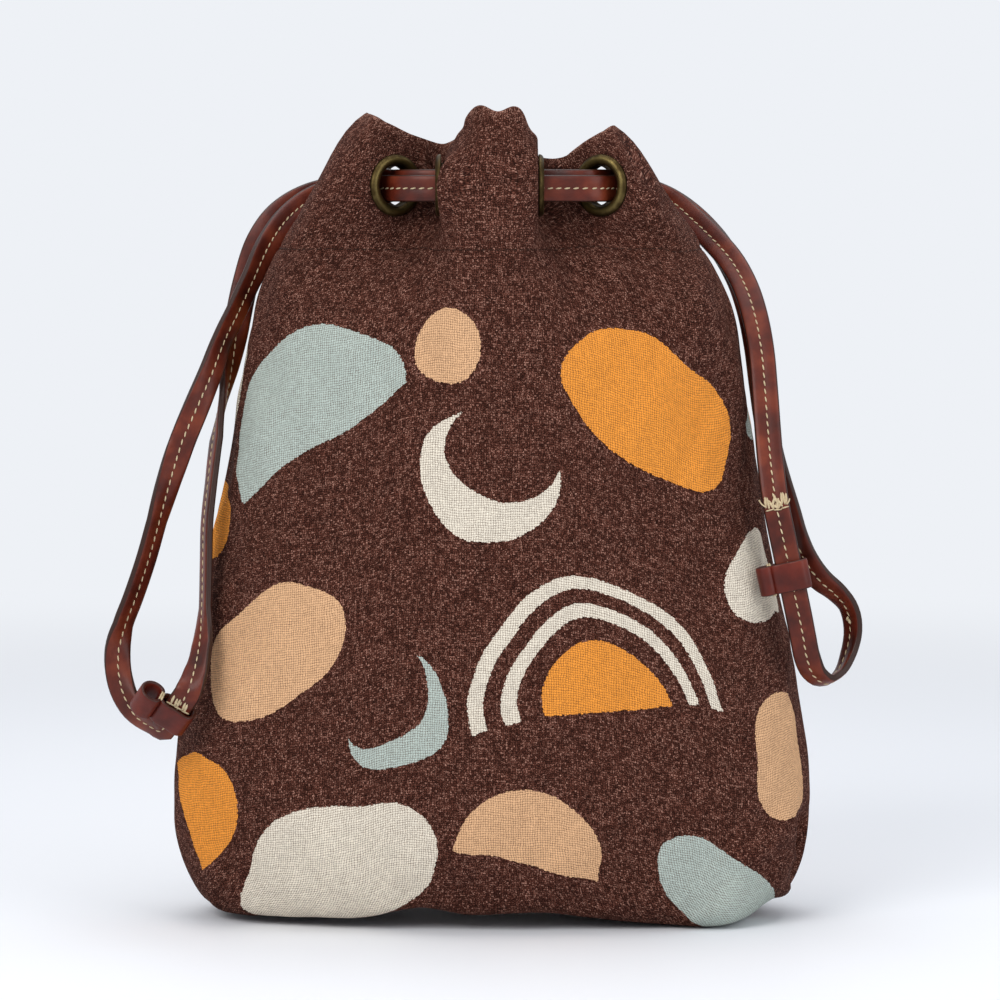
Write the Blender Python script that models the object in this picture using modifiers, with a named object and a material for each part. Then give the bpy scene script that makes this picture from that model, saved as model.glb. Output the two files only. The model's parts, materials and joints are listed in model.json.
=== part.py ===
"""Drawstring shoulder bag: a small canvas bucket bag, gathered at the mouth by
two stitched leather straps that run through eight brass eyelets and hang down
in a loop on each side, each loop with a leather keeper.

Metres, +Z up. The origin is on the floor under the middle of the bag, the
front faces -Y and +X is the right-hand side as seen from the front.
"""
import bpy
import bmesh
import numpy as np
from mathutils import Matrix, Vector

MM = 0.001

# Fits
GAP = 0.3 * MM              # what touching pieces keep between them
STRAP_SPACING = 1.0 * MM    # between the two straps where they share an eyelet
STRAP_LIFT = 1.0 * MM       # one strap rides this much over, the other under, the bore's centre
KEEPER_FIT = 0.6 * MM       # a keeper's tunnel round its strap

# Cloth: each row is height, left half-width, right half-width, half-depth, gather
CLOTH_THICKNESS = 2.0 * MM
PRESS = 0.15 * MM           # how far an eyelet presses into each face of the cloth
PRESSED_HALF = CLOTH_THICKNESS / 2 - PRESS
BODY_RINGS_MM = [
    (0, 99, 100, 38, 0.0),
    (6, 107, 109.5, 44, 0.0),
    (28, 115.5, 117.5, 51, 0.0),
    (62, 115, 116, 54, 0.0),
    (112, 105.5, 106, 53.5, 0.0),
    (165, 94.5, 95, 51.5, 0.0),
    (205, 87.5, 91, 50, 0.08),
    (229, 83, 85.5, 49, 0.3),
    (247, 72.5, 71.5, 48, 0.85),
]
BODY_SQUARENESS = 2.3       # exponent of the body's section, 2 is an ellipse
BASE_INSET = 0.55           # how far in the base's own ring of threads lies
OVAL_STEPS = 200            # points along a quarter of the section, before it is read off
EYELET_HEIGHT = 263 * MM

# Mouth, at the eyelets' height: one quarter of its plan, from the middle of the
# front fold, in along its flank to the valley, and out along the side fold
FRONT_FOLD_HALF = 17 * MM
FRONT_FOLD_DEPTH = 48 * MM
FRONT_FOLD_CORNER = 5.5 * MM
VALLEY = Vector((15, 8)) * MM
SIDE_SHOULDER = Vector((55, 37.7)) * MM
SIDE_MIDDLE_SHARE = 0.62    # share of the flank from the valley to its middle point
SIDE_CORNER_DEPTH = 19 * MM
SIDE_TIP = 63.5 * MM
SIDE_TIP_ROUNDING = 1 * MM  # how far the side fold's corner lies behind its tip
SIDE_LEAN = 17 * MM         # how far the side folds lean in from the eyelets to the rim
FRONT_LEAN = 5 * MM
SIDE_CORNER_CLOSING = 0.35  # share of the side corner's depth that is lost at the rim
RIM_SHARES = (0.55, 1.0)    # rings above the eyelets, as shares of the way to the rim
LEAN_POWER = 1.4            # the lean grows with this power of the share
# Rim heights of the same nine points of the plan, for the right and the left
RIM_RIGHT_MM = [291, 289, 284, 279, 272.5, 278.5, 283, 285, 285.5]
RIM_LEFT_MM = [292, 292, 288, 282, 275.5, 283, 288, 290.5, 291]

# Eyelets
BORE_RADIUS = 7.2 * MM
BARREL_WALL = 0.8 * MM
FLANGE_RADIUS = 11 * MM
FLANGE_HEIGHT = 1.9 * MM
FLANGE_OUTER_SHARE = 0.3    # shares of the flange's height at its outer and inner edge
FLANGE_INNER_SHARE = 0.55
WASHER_RADIUS = 10.4 * MM
WASHER_THICKNESS = 0.8 * MM
LIP_RADIUS = 9.4 * MM
LIP_THICKNESS = 0.6 * MM
PRESSED_RIM = 1.6 * MM      # ring of pressed cloth left round each flange
PATCH_PROUD = 0.45 * MM     # how much thicker the flat patch is before it is shaved
SEAT_REACH = 7 * MM         # how far out the shaving cutter reaches, past the cloth's curve
FRONT_EYELET_DEPTH = 30 * MM
SIDE_EYELET_LEFT = 33.5 * MM
SIDE_EYELET_RIGHT = 39.5 * MM
ROUND_STEPS = 16
PATCH_STEPS = 10

# Straps and keepers
STRAP_WIDTH = 9.4 * MM
STRAP_THICKNESS = 2.6 * MM
STRAP_CROSSING = 5.4 * MM   # how far up or down each strap goes where the two swap sides
ROUTE_STEP = 9 * MM         # about how far apart a strap's sections are
EYELET_STRAIGHT = 4 * MM    # straight run of a strap on each side of an eyelet
KEEPER_WALL = 1.5 * MM
KEEPER_LENGTH = 10.5 * MM
KEEPER_LOOP_LEFT = 3.4 * MM     # inner radius of the keeper's empty loop
KEEPER_LOOP_RIGHT = 1.7 * MM
KEEPER_CORNER_SHARE = 0.3   # rounding of the keeper's corners, as a share of its thickness
LOOP_LENGTH_SHARE = 0.995   # the empty loop ends a hair inside the tunnel's ends

FRONT = Vector((0, -1, 0))
BACK = Vector((0, 1, 0))
LEFT = Vector((-1, 0, 0))
RIGHT = Vector((1, 0, 0))

# Where the straps cross each fold, by the eyelet before it: how far out from the
# bag's middle, how long a run they take to swap sides there, and which way is out
FOLD_CROSSINGS = {
    0: (46.5 * MM, 7 * MM, LEFT),
    2: (FRONT_EYELET_DEPTH, 5.5 * MM, FRONT),
    4: (47.5 * MM, 7 * MM, RIGHT),
    6: (FRONT_EYELET_DEPTH, 5.5 * MM, BACK),
}


def clear_scene():
    for item in list(bpy.data.objects):
        bpy.data.objects.remove(item, do_unlink=True)


def new_collection(name):
    collection = bpy.data.collections.new(name)
    bpy.context.scene.collection.children.link(collection)
    return collection


def new_material(name, colour, roughness, metallic=0.0):
    material = bpy.data.materials.new(name)
    material.use_nodes = True
    shader = material.node_tree.nodes["Principled BSDF"]
    shader.inputs["Base Color"].default_value = (*colour, 1)
    shader.inputs["Roughness"].default_value = roughness
    shader.inputs["Metallic"].default_value = metallic
    return material


def new_object(name, mesh, collection, material=None):
    item = bpy.data.objects.new(name, mesh)
    collection.objects.link(item)
    if material:
        mesh.materials.append(material)
    return item


def mesh_from(bm, name):
    mesh = bpy.data.meshes.new(name)
    bm.to_mesh(mesh)
    bm.free()
    return mesh


def as_guide(item):
    item.hide_render = True
    item.display_type = "WIRE"
    return item


def add_boolean(item, operation, other):
    cut = item.modifiers.new(operation.lower(), "BOOLEAN")
    cut.operation = operation
    cut.solver = "EXACT"
    if isinstance(other, bpy.types.Collection):
        cut.operand_type = "COLLECTION"
        cut.collection = other
    else:
        cut.object = other


# Plan of the cloth


def mouth_quarter():
    """Nine points of the mouth's plan, right and outward positive."""
    half, depth = FRONT_FOLD_HALF, FRONT_FOLD_DEPTH
    flank = (SIDE_SHOULDER - VALLEY).normalized()
    side_middle = VALLEY + flank * (SIDE_SHOULDER - VALLEY).length * SIDE_MIDDLE_SHARE
    return np.array([
        (0, depth),
        (half - FRONT_FOLD_CORNER, depth),
        (half, depth - FRONT_FOLD_CORNER),
        (half, FRONT_EYELET_DEPTH),
        VALLEY,
        side_middle,
        SIDE_SHOULDER,
        (SIDE_TIP - SIDE_TIP_ROUNDING, SIDE_CORNER_DEPTH),
        (SIDE_TIP, 0),
    ])


def rim_quarter():
    """The same points at the rim, where the folds lean in along their own flanks."""
    points = mouth_quarter()
    flank = np.array((SIDE_SHOULDER - VALLEY).normalized())
    points[0:3, 1] -= FRONT_LEAN
    points[2, 0] -= FRONT_FOLD_CORNER / 2
    points[5] -= flank * SIDE_LEAN / 2
    points[6] -= flank * SIDE_LEAN
    points[7] -= (SIDE_LEAN, SIDE_CORNER_DEPTH * SIDE_CORNER_CLOSING)
    points[8] -= (SIDE_LEAN, 0)
    return points


def thread_shares(points):
    """Share of the quarter's length at each point, so that threads run straight up."""
    steps = np.linalg.norm(np.diff(points, axis=0), axis=1)
    travelled = np.concatenate(([0], np.cumsum(steps)))
    return travelled / travelled[-1]


def body_quarter(half_width, half_depth):
    """A squared ellipse, with its points at the same shares of its length."""
    turn = np.linspace(0, np.pi / 2, OVAL_STEPS)
    power = 2 / BODY_SQUARENESS
    curve = np.stack([half_width * np.sin(turn) ** power, half_depth * np.cos(turn) ** power], axis=1)
    shares = thread_shares(curve)
    wanted = thread_shares(mouth_quarter())
    return np.stack([np.interp(wanted, shares, curve[:, axis]) for axis in (0, 1)], axis=1)


def fitted_mouth(half_width):
    """The mouth's quarter with its side fold reaching to a given half-width."""
    points = mouth_quarter()
    reach = (half_width - FRONT_FOLD_HALF) / (SIDE_TIP - FRONT_FOLD_HALF)
    side = points[:, 0] > FRONT_FOLD_HALF
    points[side, 0] = FRONT_FOLD_HALF + (points[side, 0] - FRONT_FOLD_HALF) * reach
    return points


def full_ring(right, left, right_heights, left_heights):
    """All 32 points of a ring from its right and left quarters, from the front middle."""
    last = len(right) - 1
    order = [(right, right_heights, 1, -1, i) for i in range(last)]
    order += [(right, right_heights, 1, 1, i) for i in range(last, 0, -1)]
    order += [(left, left_heights, -1, 1, i) for i in range(last)]
    order += [(left, left_heights, -1, -1, i) for i in range(last, 0, -1)]
    return [Vector((q[i][0] * sx, q[i][1] * sy, h[i])) for q, h, sx, sy, i in order]


def body_ring(height, left_half, right_half, half_depth, gather):
    quarters = []
    for half in (right_half, left_half):
        body = body_quarter(half * MM, half_depth * MM)
        mouth = fitted_mouth(half * MM)
        quarters.append(body * (1 - gather) + mouth * gather)
    heights = [height * MM] * len(quarters[0])
    return full_ring(quarters[0], quarters[1], heights, heights)


def mouth_rings():
    """The ring at the eyelets, one half-way up to the rim, and the rim."""
    mouth, rim = mouth_quarter(), rim_quarter()
    level = [EYELET_HEIGHT] * len(mouth)
    right_rim = np.array(RIM_RIGHT_MM) * MM
    left_rim = np.array(RIM_LEFT_MM) * MM
    rings = [full_ring(mouth, mouth, level, level)]
    for share in RIM_SHARES:
        lean = share ** LEAN_POWER
        plan = mouth * (1 - lean) + rim * lean
        right = EYELET_HEIGHT + (right_rim - EYELET_HEIGHT) * share
        left = EYELET_HEIGHT + (left_rim - EYELET_HEIGHT) * share
        rings.append(full_ring(plan, plan, right, left))
    return rings


def cloth_shell(guides):
    """The whole bag as one soft shell, from a cage of rings and its base."""
    body = [body_ring(*row) for row in BODY_RINGS_MM]
    base = [Vector((p.x * BASE_INSET, p.y * BASE_INSET, 0)) for p in body[0]]
    rings = [base] + body + mouth_rings()
    bm = bmesh.new()
    rows = [[bm.verts.new(point) for point in ring] for ring in rings]
    bm.faces.new(reversed(rows[0]))
    count = len(rows[0])
    for lower, upper in zip(rows, rows[1:]):
        for i in range(count):
            j = (i + 1) % count
            bm.faces.new((lower[i], lower[j], upper[j], upper[i]))
    bmesh.ops.recalc_face_normals(bm, faces=bm.faces)
    shell = as_guide(new_object("shell", mesh_from(bm, "shell"), guides))
    soft = shell.modifiers.new("soft", "SUBSURF")
    soft.levels = 1
    soft.render_levels = 1
    wall = shell.modifiers.new("wall", "SOLIDIFY")
    wall.thickness = CLOTH_THICKNESS
    wall.offset = -1
    return shell


# Eyelets


def eyelet_frames():
    """Matrix of each eyelet: origin in the middle of the cloth's wall, +Z outward.

    They run counter-clockwise as seen from above, from the left fold's back.
    """
    flank = (SIDE_SHOULDER - VALLEY).normalized()

    def on_flank(across):
        along = (across - VALLEY.x) / flank.x
        return VALLEY + flank * along

    left, right = on_flank(SIDE_EYELET_LEFT), on_flank(SIDE_EYELET_RIGHT)
    facing = Vector((flank.y, flank.x))
    half, depth = FRONT_FOLD_HALF, FRONT_EYELET_DEPTH
    places = [
        (-left.x, left.y, facing.x, facing.y),
        (-left.x, -left.y, facing.x, -facing.y),
        (-half, -depth, -1, 0),
        (half, -depth, 1, 0),
        (right.x, -right.y, -facing.x, -facing.y),
        (right.x, right.y, -facing.x, facing.y),
        (half, depth, 1, 0),
        (-half, depth, -1, 0),
    ]
    frames = []
    for x, y, nx, ny in places:
        outward = Vector((nx, ny, 0)).normalized()
        turn = outward.to_track_quat("Z", "Y").to_matrix().to_4x4()
        wall_middle = Vector((x, y, EYELET_HEIGHT)) - outward * CLOTH_THICKNESS / 2
        frames.append(Matrix.Translation(wall_middle) @ turn)
    return frames


def turned(name, profile, collection, frame, material=None, closed=True, steps=ROUND_STEPS):
    """A piece turned about its local Z from a profile of radius and height."""
    bm = bmesh.new()
    verts = [bm.verts.new((radius, 0, height)) for radius, height in profile]
    for a, b in zip(verts, verts[1:]):
        bm.edges.new((a, b))
    if closed:
        bm.edges.new((verts[-1], verts[0]))
    item = new_object(name, mesh_from(bm, name), collection, material)
    item.matrix_world = frame
    screw = item.modifiers.new("turn", "SCREW")
    screw.steps = steps
    screw.render_steps = steps
    screw.use_merge_vertices = True
    screw.merge_threshold = 0.00001
    screw.use_smooth_shade = True
    return item


def eyelet_profile():
    """Rolled flange outside, barrel through the cloth, lip turned over the washer."""
    barrel = BORE_RADIUS + BARREL_WALL
    flange_back = PRESSED_HALF + GAP
    lip_front = -PRESSED_HALF - GAP - WASHER_THICKNESS - GAP
    lip_back = lip_front - LIP_THICKNESS
    return [
        ((BORE_RADIUS + FLANGE_RADIUS) / 2, flange_back + FLANGE_HEIGHT),
        (FLANGE_RADIUS, flange_back + FLANGE_HEIGHT * FLANGE_OUTER_SHARE),
        (FLANGE_RADIUS, flange_back),
        (barrel, flange_back),
        (barrel, lip_front),
        (LIP_RADIUS, lip_front),
        (BORE_RADIUS, lip_back),
        (BORE_RADIUS, flange_back + FLANGE_HEIGHT * FLANGE_INNER_SHARE),
    ]


def washer_profile():
    bore = BORE_RADIUS + BARREL_WALL + GAP
    top = -PRESSED_HALF - GAP
    return [
        (WASHER_RADIUS, top),
        (WASHER_RADIUS, top - WASHER_THICKNESS),
        (bore, top - WASHER_THICKNESS),
        (bore, top),
    ]


def seat_profile():
    """Cutter: the barrel's hole, and both faces of the cloth shaved flat round it."""
    hole = BORE_RADIUS + BARREL_WALL + GAP
    seat = FLANGE_RADIUS + GAP
    return [
        (0, SEAT_REACH),
        (seat, SEAT_REACH),
        (seat, PRESSED_HALF),
        (hole, PRESSED_HALF),
        (hole, -PRESSED_HALF),
        (seat, -PRESSED_HALF),
        (seat, -SEAT_REACH),
        (0, -SEAT_REACH),
    ]


def patch_profile():
    """Cloth pressed flat under the flange, a little prouder than it ends up."""
    radius = FLANGE_RADIUS + GAP + PRESSED_RIM
    half = PRESSED_HALF + PATCH_PROUD
    return [(0, half), (radius, half), (radius, -half), (0, -half)]


# Routes of the straps


def smooth_route(points, faces, step):
    """A smooth closed curve through the points, read off at even steps."""
    count = len(points)
    p = np.array([tuple(point) for point in points])
    f = np.array([tuple(face) for face in faces])
    chord = np.linalg.norm(np.roll(p, -1, axis=0) - p, axis=1)
    ahead = (np.roll(p, -1, axis=0) - p) / chord[:, None]
    behind = np.roll(ahead, 1, axis=0)
    before = np.roll(chord, 1)
    slope = (ahead * before[:, None] + behind * chord[:, None]) / (before + chord)[:, None]
    route = []
    for i in range(count):
        j = (i + 1) % count
        pieces = max(1, round(chord[i] / step))
        for k in range(pieces):
            t = k / pieces
            place = (2 * t**3 - 3 * t**2 + 1) * p[i] + (3 * t**2 - 2 * t**3) * p[j]
            place += (t**3 - 2 * t**2 + t) * chord[i] * slope[i] + (t**3 - t**2) * chord[i] * slope[j]
            route.append((Vector(place), Vector((1 - t) * f[i] + t * f[j])))
    return route


def right_of(heading):
    return Vector((heading.y, -heading.x, 0))


def fold_points(eyelet, side_in, side_out, lift):
    """Points of a strap inside the fold between an even-numbered eyelet and the next.

    Where it swaps sides with its twin, it goes all the way over or under it first.
    """
    reach, stage, outside = FOLD_CROSSINGS[eyelet]
    heading = Vector((-outside.y, outside.x, 0))
    centre = outside * reach + Vector((0, 0, EYELET_HEIGHT))
    shift = (STRAP_SPACING + STRAP_THICKNESS) / 2
    if side_in == side_out:
        return [(centre + outside * side_in * shift + Vector((0, 0, lift)), outside)]
    rise = Vector((0, 0, STRAP_CROSSING if lift > 0 else -STRAP_CROSSING))
    return [
        (centre - heading * stage + outside * side_in * shift + rise, outside),
        (centre + rise, outside),
        (centre + heading * stage + outside * side_out * shift + rise, outside),
    ]


def ring_points(order, side, lift, frames):
    """Points of a strap through the eyelets, in order, counter-clockwise from above.

    side says, for each eyelet, whether the strap runs on the outside (1) or the
    inside (-1) of its twin.
    """
    points = []
    shift = (STRAP_SPACING + STRAP_THICKNESS) / 2
    for eyelet, following in zip(order, order[1:] + [None]):
        centre = frames[eyelet].translation + Vector((0, 0, lift))
        outward = frames[eyelet].to_3x3() @ Vector((0, 0, 1))
        heading = outward if eyelet % 2 else -outward
        outside = right_of(heading)
        for run in (-EYELET_STRAIGHT, 0, EYELET_STRAIGHT):
            points.append((centre + heading * run + outside * side[eyelet] * shift, outside))
        if eyelet % 2 == 0 and following is not None:
            points += fold_points(eyelet, side[eyelet], side[following], lift)
    return points


# Free loops, from where the strap leaves its last eyelet to where it comes back to
# its first: millimetres, with the way that the strap's outer face looks
HUG = (-0.7, -0.7, 0)
LEFT_LOOP_MM = [
    ((-25, 34.5, 263.5), (-0.7, 0.7, 0)), ((-28.5, 40, 263.5), (-0.7, 0.7, 0)),
    ((-34, 45.5, 263.5), (-0.3, 1, 0)), ((-44, 48, 263), BACK), ((-55, 48, 262), BACK),
    ((-66, 43, 259.5), BACK), ((-77, 33.5, 253), BACK), ((-84, 23, 243), BACK),
    ((-88.5, 14, 228), BACK), ((-91, 8, 215), BACK), ((-93, 1, 202), (-0.7, 0.7, 0)),
    ((-95.5, -6, 187), (-1, 0, 0)), ((-97.6, -13, 172.8), (-0.9, -0.4, 0)),
    ((-99.2, -17, 158), HUG), ((-100.8, -20, 143.3), HUG), ((-101, -23, 129), HUG),
    ((-101.4, -26, 114), HUG), ((-102.6, -29.5, 99.4), (-0.55, -0.8, -0.2)),
    ((-104.3, -33.5, 91.5), (-0.4, -0.85, -0.4)),
]
LEFT_RISE_MM = [
    ((-121.5, -25, 68.6), (-0.25, -0.85, -0.5)), ((-127.5, -22, 72.5), (-0.25, -0.9, -0.4)),
    ((-131.8, -20.5, 80), (-0.2, -0.95, -0.3)), ((-134.3, -19, 89), (-0.1, -1, -0.1)),
    ((-134.6, -18, 98), FRONT), ((-132.8, -17, 106.6), FRONT), ((-129.6, -17, 115.5), FRONT),
    ((-124.6, -17, 130), FRONT), ((-120.2, -17, 144), FRONT), ((-115.2, -17, 158.5), FRONT),
    ((-109.8, -17, 172.8), FRONT), ((-105.2, -16, 185), FRONT), ((-101.6, -13, 196.5), FRONT),
    ((-98.6, -8, 207.5), FRONT), ((-94.8, -1, 217.5), FRONT), ((-90, 7.5, 229), FRONT),
    ((-83.5, 17.5, 243.5), FRONT), ((-75, 28.5, 253.5), FRONT), ((-65, 37.5, 259.5), FRONT),
    ((-55, 42.5, 262), FRONT), ((-45.5, 42.5, 263), FRONT), ((-38.5, 39, 263.5), (-0.5, -0.8, 0)),
    ((-34.2, 33.5, 263.8), (-0.9, -0.3, 0)),
]
RIGHT_LOOP_MM = [
    ((38.8, 37, 262.3), (1, 0, 0)), ((42, 42.5, 262.3), (0.8, -0.6, 0)), ((48.5, 45.6, 262), FRONT),
    ((57, 44.8, 261), FRONT), ((66, 39.5, 257.5), FRONT), ((74, 32, 250.5), FRONT),
    ((81, 23.5, 243.5), FRONT), ((87.5, 14, 235.5), FRONT), ((92.2, 5, 226), FRONT),
    ((95, -3, 216), FRONT), ((96.8, -10, 204.5), FRONT), ((97.8, -16, 190.8), FRONT),
    ((98.6, -21, 176.8), FRONT), ((99.6, -25.5, 163.1), FRONT), ((100.4, -28.4, 155.5), FRONT),
]
RIGHT_RISE_MM = [
    ((111.2, -29.3, 102.5), FRONT), ((113, -27.3, 94.5), (-0.1, -0.95, -0.3)),
    ((115.8, -24.5, 88), (-0.3, -0.75, -0.6)), ((120.2, -21, 84.8), (-0.1, -0.45, -0.9)),
    ((125, -17.6, 87.3), (0.5, -0.1, -0.85)), ((128.5, -15, 95), (0.85, 0.35, -0.35)),
    ((129.8, -14, 104.5), (0.85, 0.5, 0)), ((128.2, -15, 112.5), (0.7, 0.55, 0.45)),
    ((123.5, -17, 118.3), (0.4, 0.7, 0.6)), ((117.8, -19, 123), (0.3, 0.85, 0.4)),
    ((113.4, -19.7, 130), (0.15, 1, 0.1)), ((111, -18.5, 138), BACK), ((109.2, -16, 147.6), BACK),
    ((107, -12.5, 157), BACK), ((105, -9, 166), BACK), ((103.2, -4.5, 178), BACK),
    ((101.6, 0.5, 192), BACK), ((100, 6, 206), BACK), ((97.6, 12, 218), BACK),
    ((93.6, 19, 229), BACK), ((88, 26, 238.5), BACK), ((81, 33, 246.5), BACK),
    ((73.5, 39.5, 253.5), BACK), ((66.5, 45, 258), BACK), ((59, 49.4, 260.8), BACK),
    ((50, 51.5, 262), BACK), ((41, 50, 262.3), (0.2, 1, 0)), ((33.5, 45.5, 262.3), (0.6, 0.7, 0)),
    ((29, 40, 262.3), (0.8, 0.6, 0)), ((25.5, 34.8, 262.2), (0.6, 0.8, 0)),
]

# Keepers: centre, heading of the strap through it, and the side that its empty loop is on
LEFT_KEEPER = (Vector((-112, -34, 76.5)) * MM, Vector((-0.45, 0.6, -0.66)), Vector((-0.83, -0.1, 0.55)))
RIGHT_KEEPER = (Vector((106.4, -30, 125.3)) * MM, Vector((0.2055, 0, -0.9787)), Vector((-0.9787, 0, -0.2055)))
KEEPER_RUN_LEFT_MM = (-11, -5, 0, 5, 10)
KEEPER_RUN_RIGHT_MM = (-24, -12, 0, 8, 15)


def keeper_frame(place):
    """Matrix of a keeper: X towards its empty loop, Z along the strap, Y its outer face."""
    centre, heading, loop_side = place
    along = heading.normalized()
    across = (loop_side - along * loop_side.dot(along)).normalized()
    face = along.cross(across)
    turn = Matrix((across, face, along)).transposed().to_4x4()
    return Matrix.Translation(centre) @ turn


def keeper_points(place, runs_mm, face):
    frame = keeper_frame(place)
    looks = frame.to_3x3() @ Vector((0, 1, 0))
    if looks.dot(face) < 0:
        looks = -looks
    return [(frame @ Vector((0, 0, run * MM)), looks) for run in runs_mm]


def free_loop(first_mm, keeper, runs_mm, second_mm):
    first = [(Vector(point) * MM, Vector(face)) for point, face in first_mm]
    held = keeper_points(keeper, runs_mm, FRONT)
    second = [(Vector(point) * MM, Vector(face)) for point, face in second_mm]
    return first + held + second


def strap_route(order, side, lift, loop, frames):
    stops = ring_points(order, side, lift, frames) + loop
    points, faces = zip(*stops)
    return smooth_route(points, faces, ROUTE_STEP)


def make_strap(name, route, collection, material):
    """A flat strap lofted along its closed route, turned so that its face looks as told."""
    bm = bmesh.new()
    count = len(route)
    sections = []
    for i, (place, face) in enumerate(route):
        heading = (route[(i + 1) % count][0] - route[i - 1][0]).normalized()
        across = heading.cross(face).normalized() * STRAP_WIDTH / 2
        through = across.cross(heading).normalized() * STRAP_THICKNESS / 2
        corners = [across + through, across - through, -across - through, -across + through]
        sections.append([bm.verts.new(place + corner) for corner in corners])
    for a, b in zip(sections, sections[1:] + sections[:1]):
        for k in range(4):
            m = (k + 1) % 4
            bm.faces.new((a[k], a[m], b[m], b[k]))
    bmesh.ops.recalc_face_normals(bm, faces=bm.faces)
    return new_object(name, mesh_from(bm, name), collection, material)


# Keepers


def rounded_block(name, size, collection, frame, shift):
    bm = bmesh.new()
    bmesh.ops.create_cube(bm, size=1)
    bmesh.ops.scale(bm, vec=size, verts=bm.verts)
    long_edges = [e for e in bm.edges if abs(e.verts[0].co.z - e.verts[1].co.z) > size.z / 2]
    bmesh.ops.bevel(
        bm, geom=long_edges, offset=size.y * KEEPER_CORNER_SHARE, segments=2,
        profile=0.5, affect="EDGES", material=-1,
    )
    bmesh.ops.translate(bm, vec=shift, verts=bm.verts)
    item = new_object(name, mesh_from(bm, name), collection)
    item.matrix_world = frame
    return item


def round_bar(name, radius, length, collection, frame, shift):
    bm = bmesh.new()
    bmesh.ops.create_cone(
        bm, cap_ends=True, segments=ROUND_STEPS, radius1=radius, radius2=radius, depth=length
    )
    bmesh.ops.translate(bm, vec=shift, verts=bm.verts)
    item = new_object(name, mesh_from(bm, name), collection)
    item.matrix_world = frame
    return item


def make_keeper(name, place, loop_radius, parts, guides, material):
    """A folded leather band: a tunnel round the strap and an empty loop beside it."""
    frame = keeper_frame(place)
    tunnel = Vector((STRAP_WIDTH, STRAP_THICKNESS, 0)) + Vector((2, 2, 0)) * KEEPER_FIT
    outside = tunnel + Vector((2 * KEEPER_WALL, 2 * KEEPER_WALL, KEEPER_LENGTH))
    through = tunnel + Vector((0, 0, KEEPER_LENGTH * 2))
    loop_centre = Vector((tunnel.x / 2 + KEEPER_WALL + loop_radius, 0, 0))
    centre = Vector((0, 0, 0))
    keeper = rounded_block(name, outside, parts, frame, centre)
    keeper.data.materials.append(material)
    loop_length = KEEPER_LENGTH * LOOP_LENGTH_SHARE
    loop_outer = round_bar(name + "_loop", loop_radius + KEEPER_WALL, loop_length, guides, frame, loop_centre)
    loop_inner = round_bar(name + "_loop_hole", loop_radius, KEEPER_LENGTH * 2, guides, frame, loop_centre)
    tunnel_hole = rounded_block(name + "_tunnel", through, guides, frame, centre)
    add_boolean(keeper, "UNION", as_guide(loop_outer))
    add_boolean(keeper, "DIFFERENCE", as_guide(loop_inner))
    add_boolean(keeper, "DIFFERENCE", as_guide(tunnel_hole))
    return keeper


# Panels


def make_panel(name, shell, side, frames, parts, guides, material):
    """One half of the shell, parted from the other along the side and bottom seams.

    Its own eyelets then press it flat where they sit, and their holes are cut.
    """
    depsgraph = bpy.context.evaluated_depsgraph_get()
    mesh = bpy.data.meshes.new_from_object(shell.evaluated_get(depsgraph))
    mesh.name = name
    panel = new_object(name, mesh, parts, material)
    reach = 1.0
    bm = bmesh.new()
    bmesh.ops.create_cube(bm, size=reach)
    bmesh.ops.translate(bm, vec=(0, side * (reach / 2 + GAP / 2), 0), verts=bm.verts)
    half = as_guide(new_object(name + "_half", mesh_from(bm, name + "_half"), guides))
    add_boolean(panel, "INTERSECT", half)
    patches = new_collection(name + "_patches")
    seats = new_collection(name + "_seats")
    for number, frame in enumerate(frames):
        if frame.translation.y * side > 0:
            patch = turned(
                f"patch_{number}", patch_profile(), patches, frame, closed=False, steps=PATCH_STEPS
            )
            as_guide(patch)
            as_guide(turned(f"seat_{number}", seat_profile(), seats, frame, closed=False))
    add_boolean(panel, "UNION", patches)
    add_boolean(panel, "DIFFERENCE", seats)
    return panel


clear_scene()
parts = new_collection("drawstring_shoulder_bag")
guides = new_collection("cutters")

canvas_front = new_material("canvas_front", (0.075, 0.03, 0.022), 0.9)
canvas_back = new_material("canvas_back", (0.07, 0.028, 0.02), 0.9)
frames = eyelet_frames()
shell = cloth_shell(guides)
bpy.context.view_layer.update()
make_panel("bag_front_panel", shell, -1, frames, parts, guides, canvas_front)
make_panel("bag_back_panel", shell, 1, frames, parts, guides, canvas_back)

for number, frame in enumerate(frames):
    brass = new_material(f"brass_eyelet_{number}", (0.16, 0.12, 0.05), 0.4, 1.0)
    plain_brass = new_material(f"brass_washer_{number}", (0.2, 0.15, 0.07), 0.45, 1.0)
    turned(f"eyelet_{number}", eyelet_profile(), parts, frame, brass)
    turned(f"eyelet_washer_{number}", washer_profile(), parts, frame, plain_brass)

left_leather = new_material("leather_strap_left", (0.15, 0.035, 0.02), 0.35)
right_leather = new_material("leather_strap_right", (0.16, 0.038, 0.022), 0.35)
left_order = [0, 1, 2, 3, 4, 5, 6, 7]
right_order = [6, 7, 0, 1, 2, 3, 4, 5]
left_side = [1, -1, -1, -1, -1, -1, -1, 1]
right_side = [-side for side in left_side]
left_loop = free_loop(LEFT_LOOP_MM, LEFT_KEEPER, KEEPER_RUN_LEFT_MM, LEFT_RISE_MM)
right_loop = free_loop(RIGHT_LOOP_MM, RIGHT_KEEPER, KEEPER_RUN_RIGHT_MM, RIGHT_RISE_MM)
left_route = strap_route(left_order, left_side, STRAP_LIFT, left_loop, frames)
right_route = strap_route(right_order, right_side, -STRAP_LIFT, right_loop, frames)
make_strap("strap_left", left_route, parts, left_leather)
make_strap("strap_right", right_route, parts, right_leather)

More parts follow.
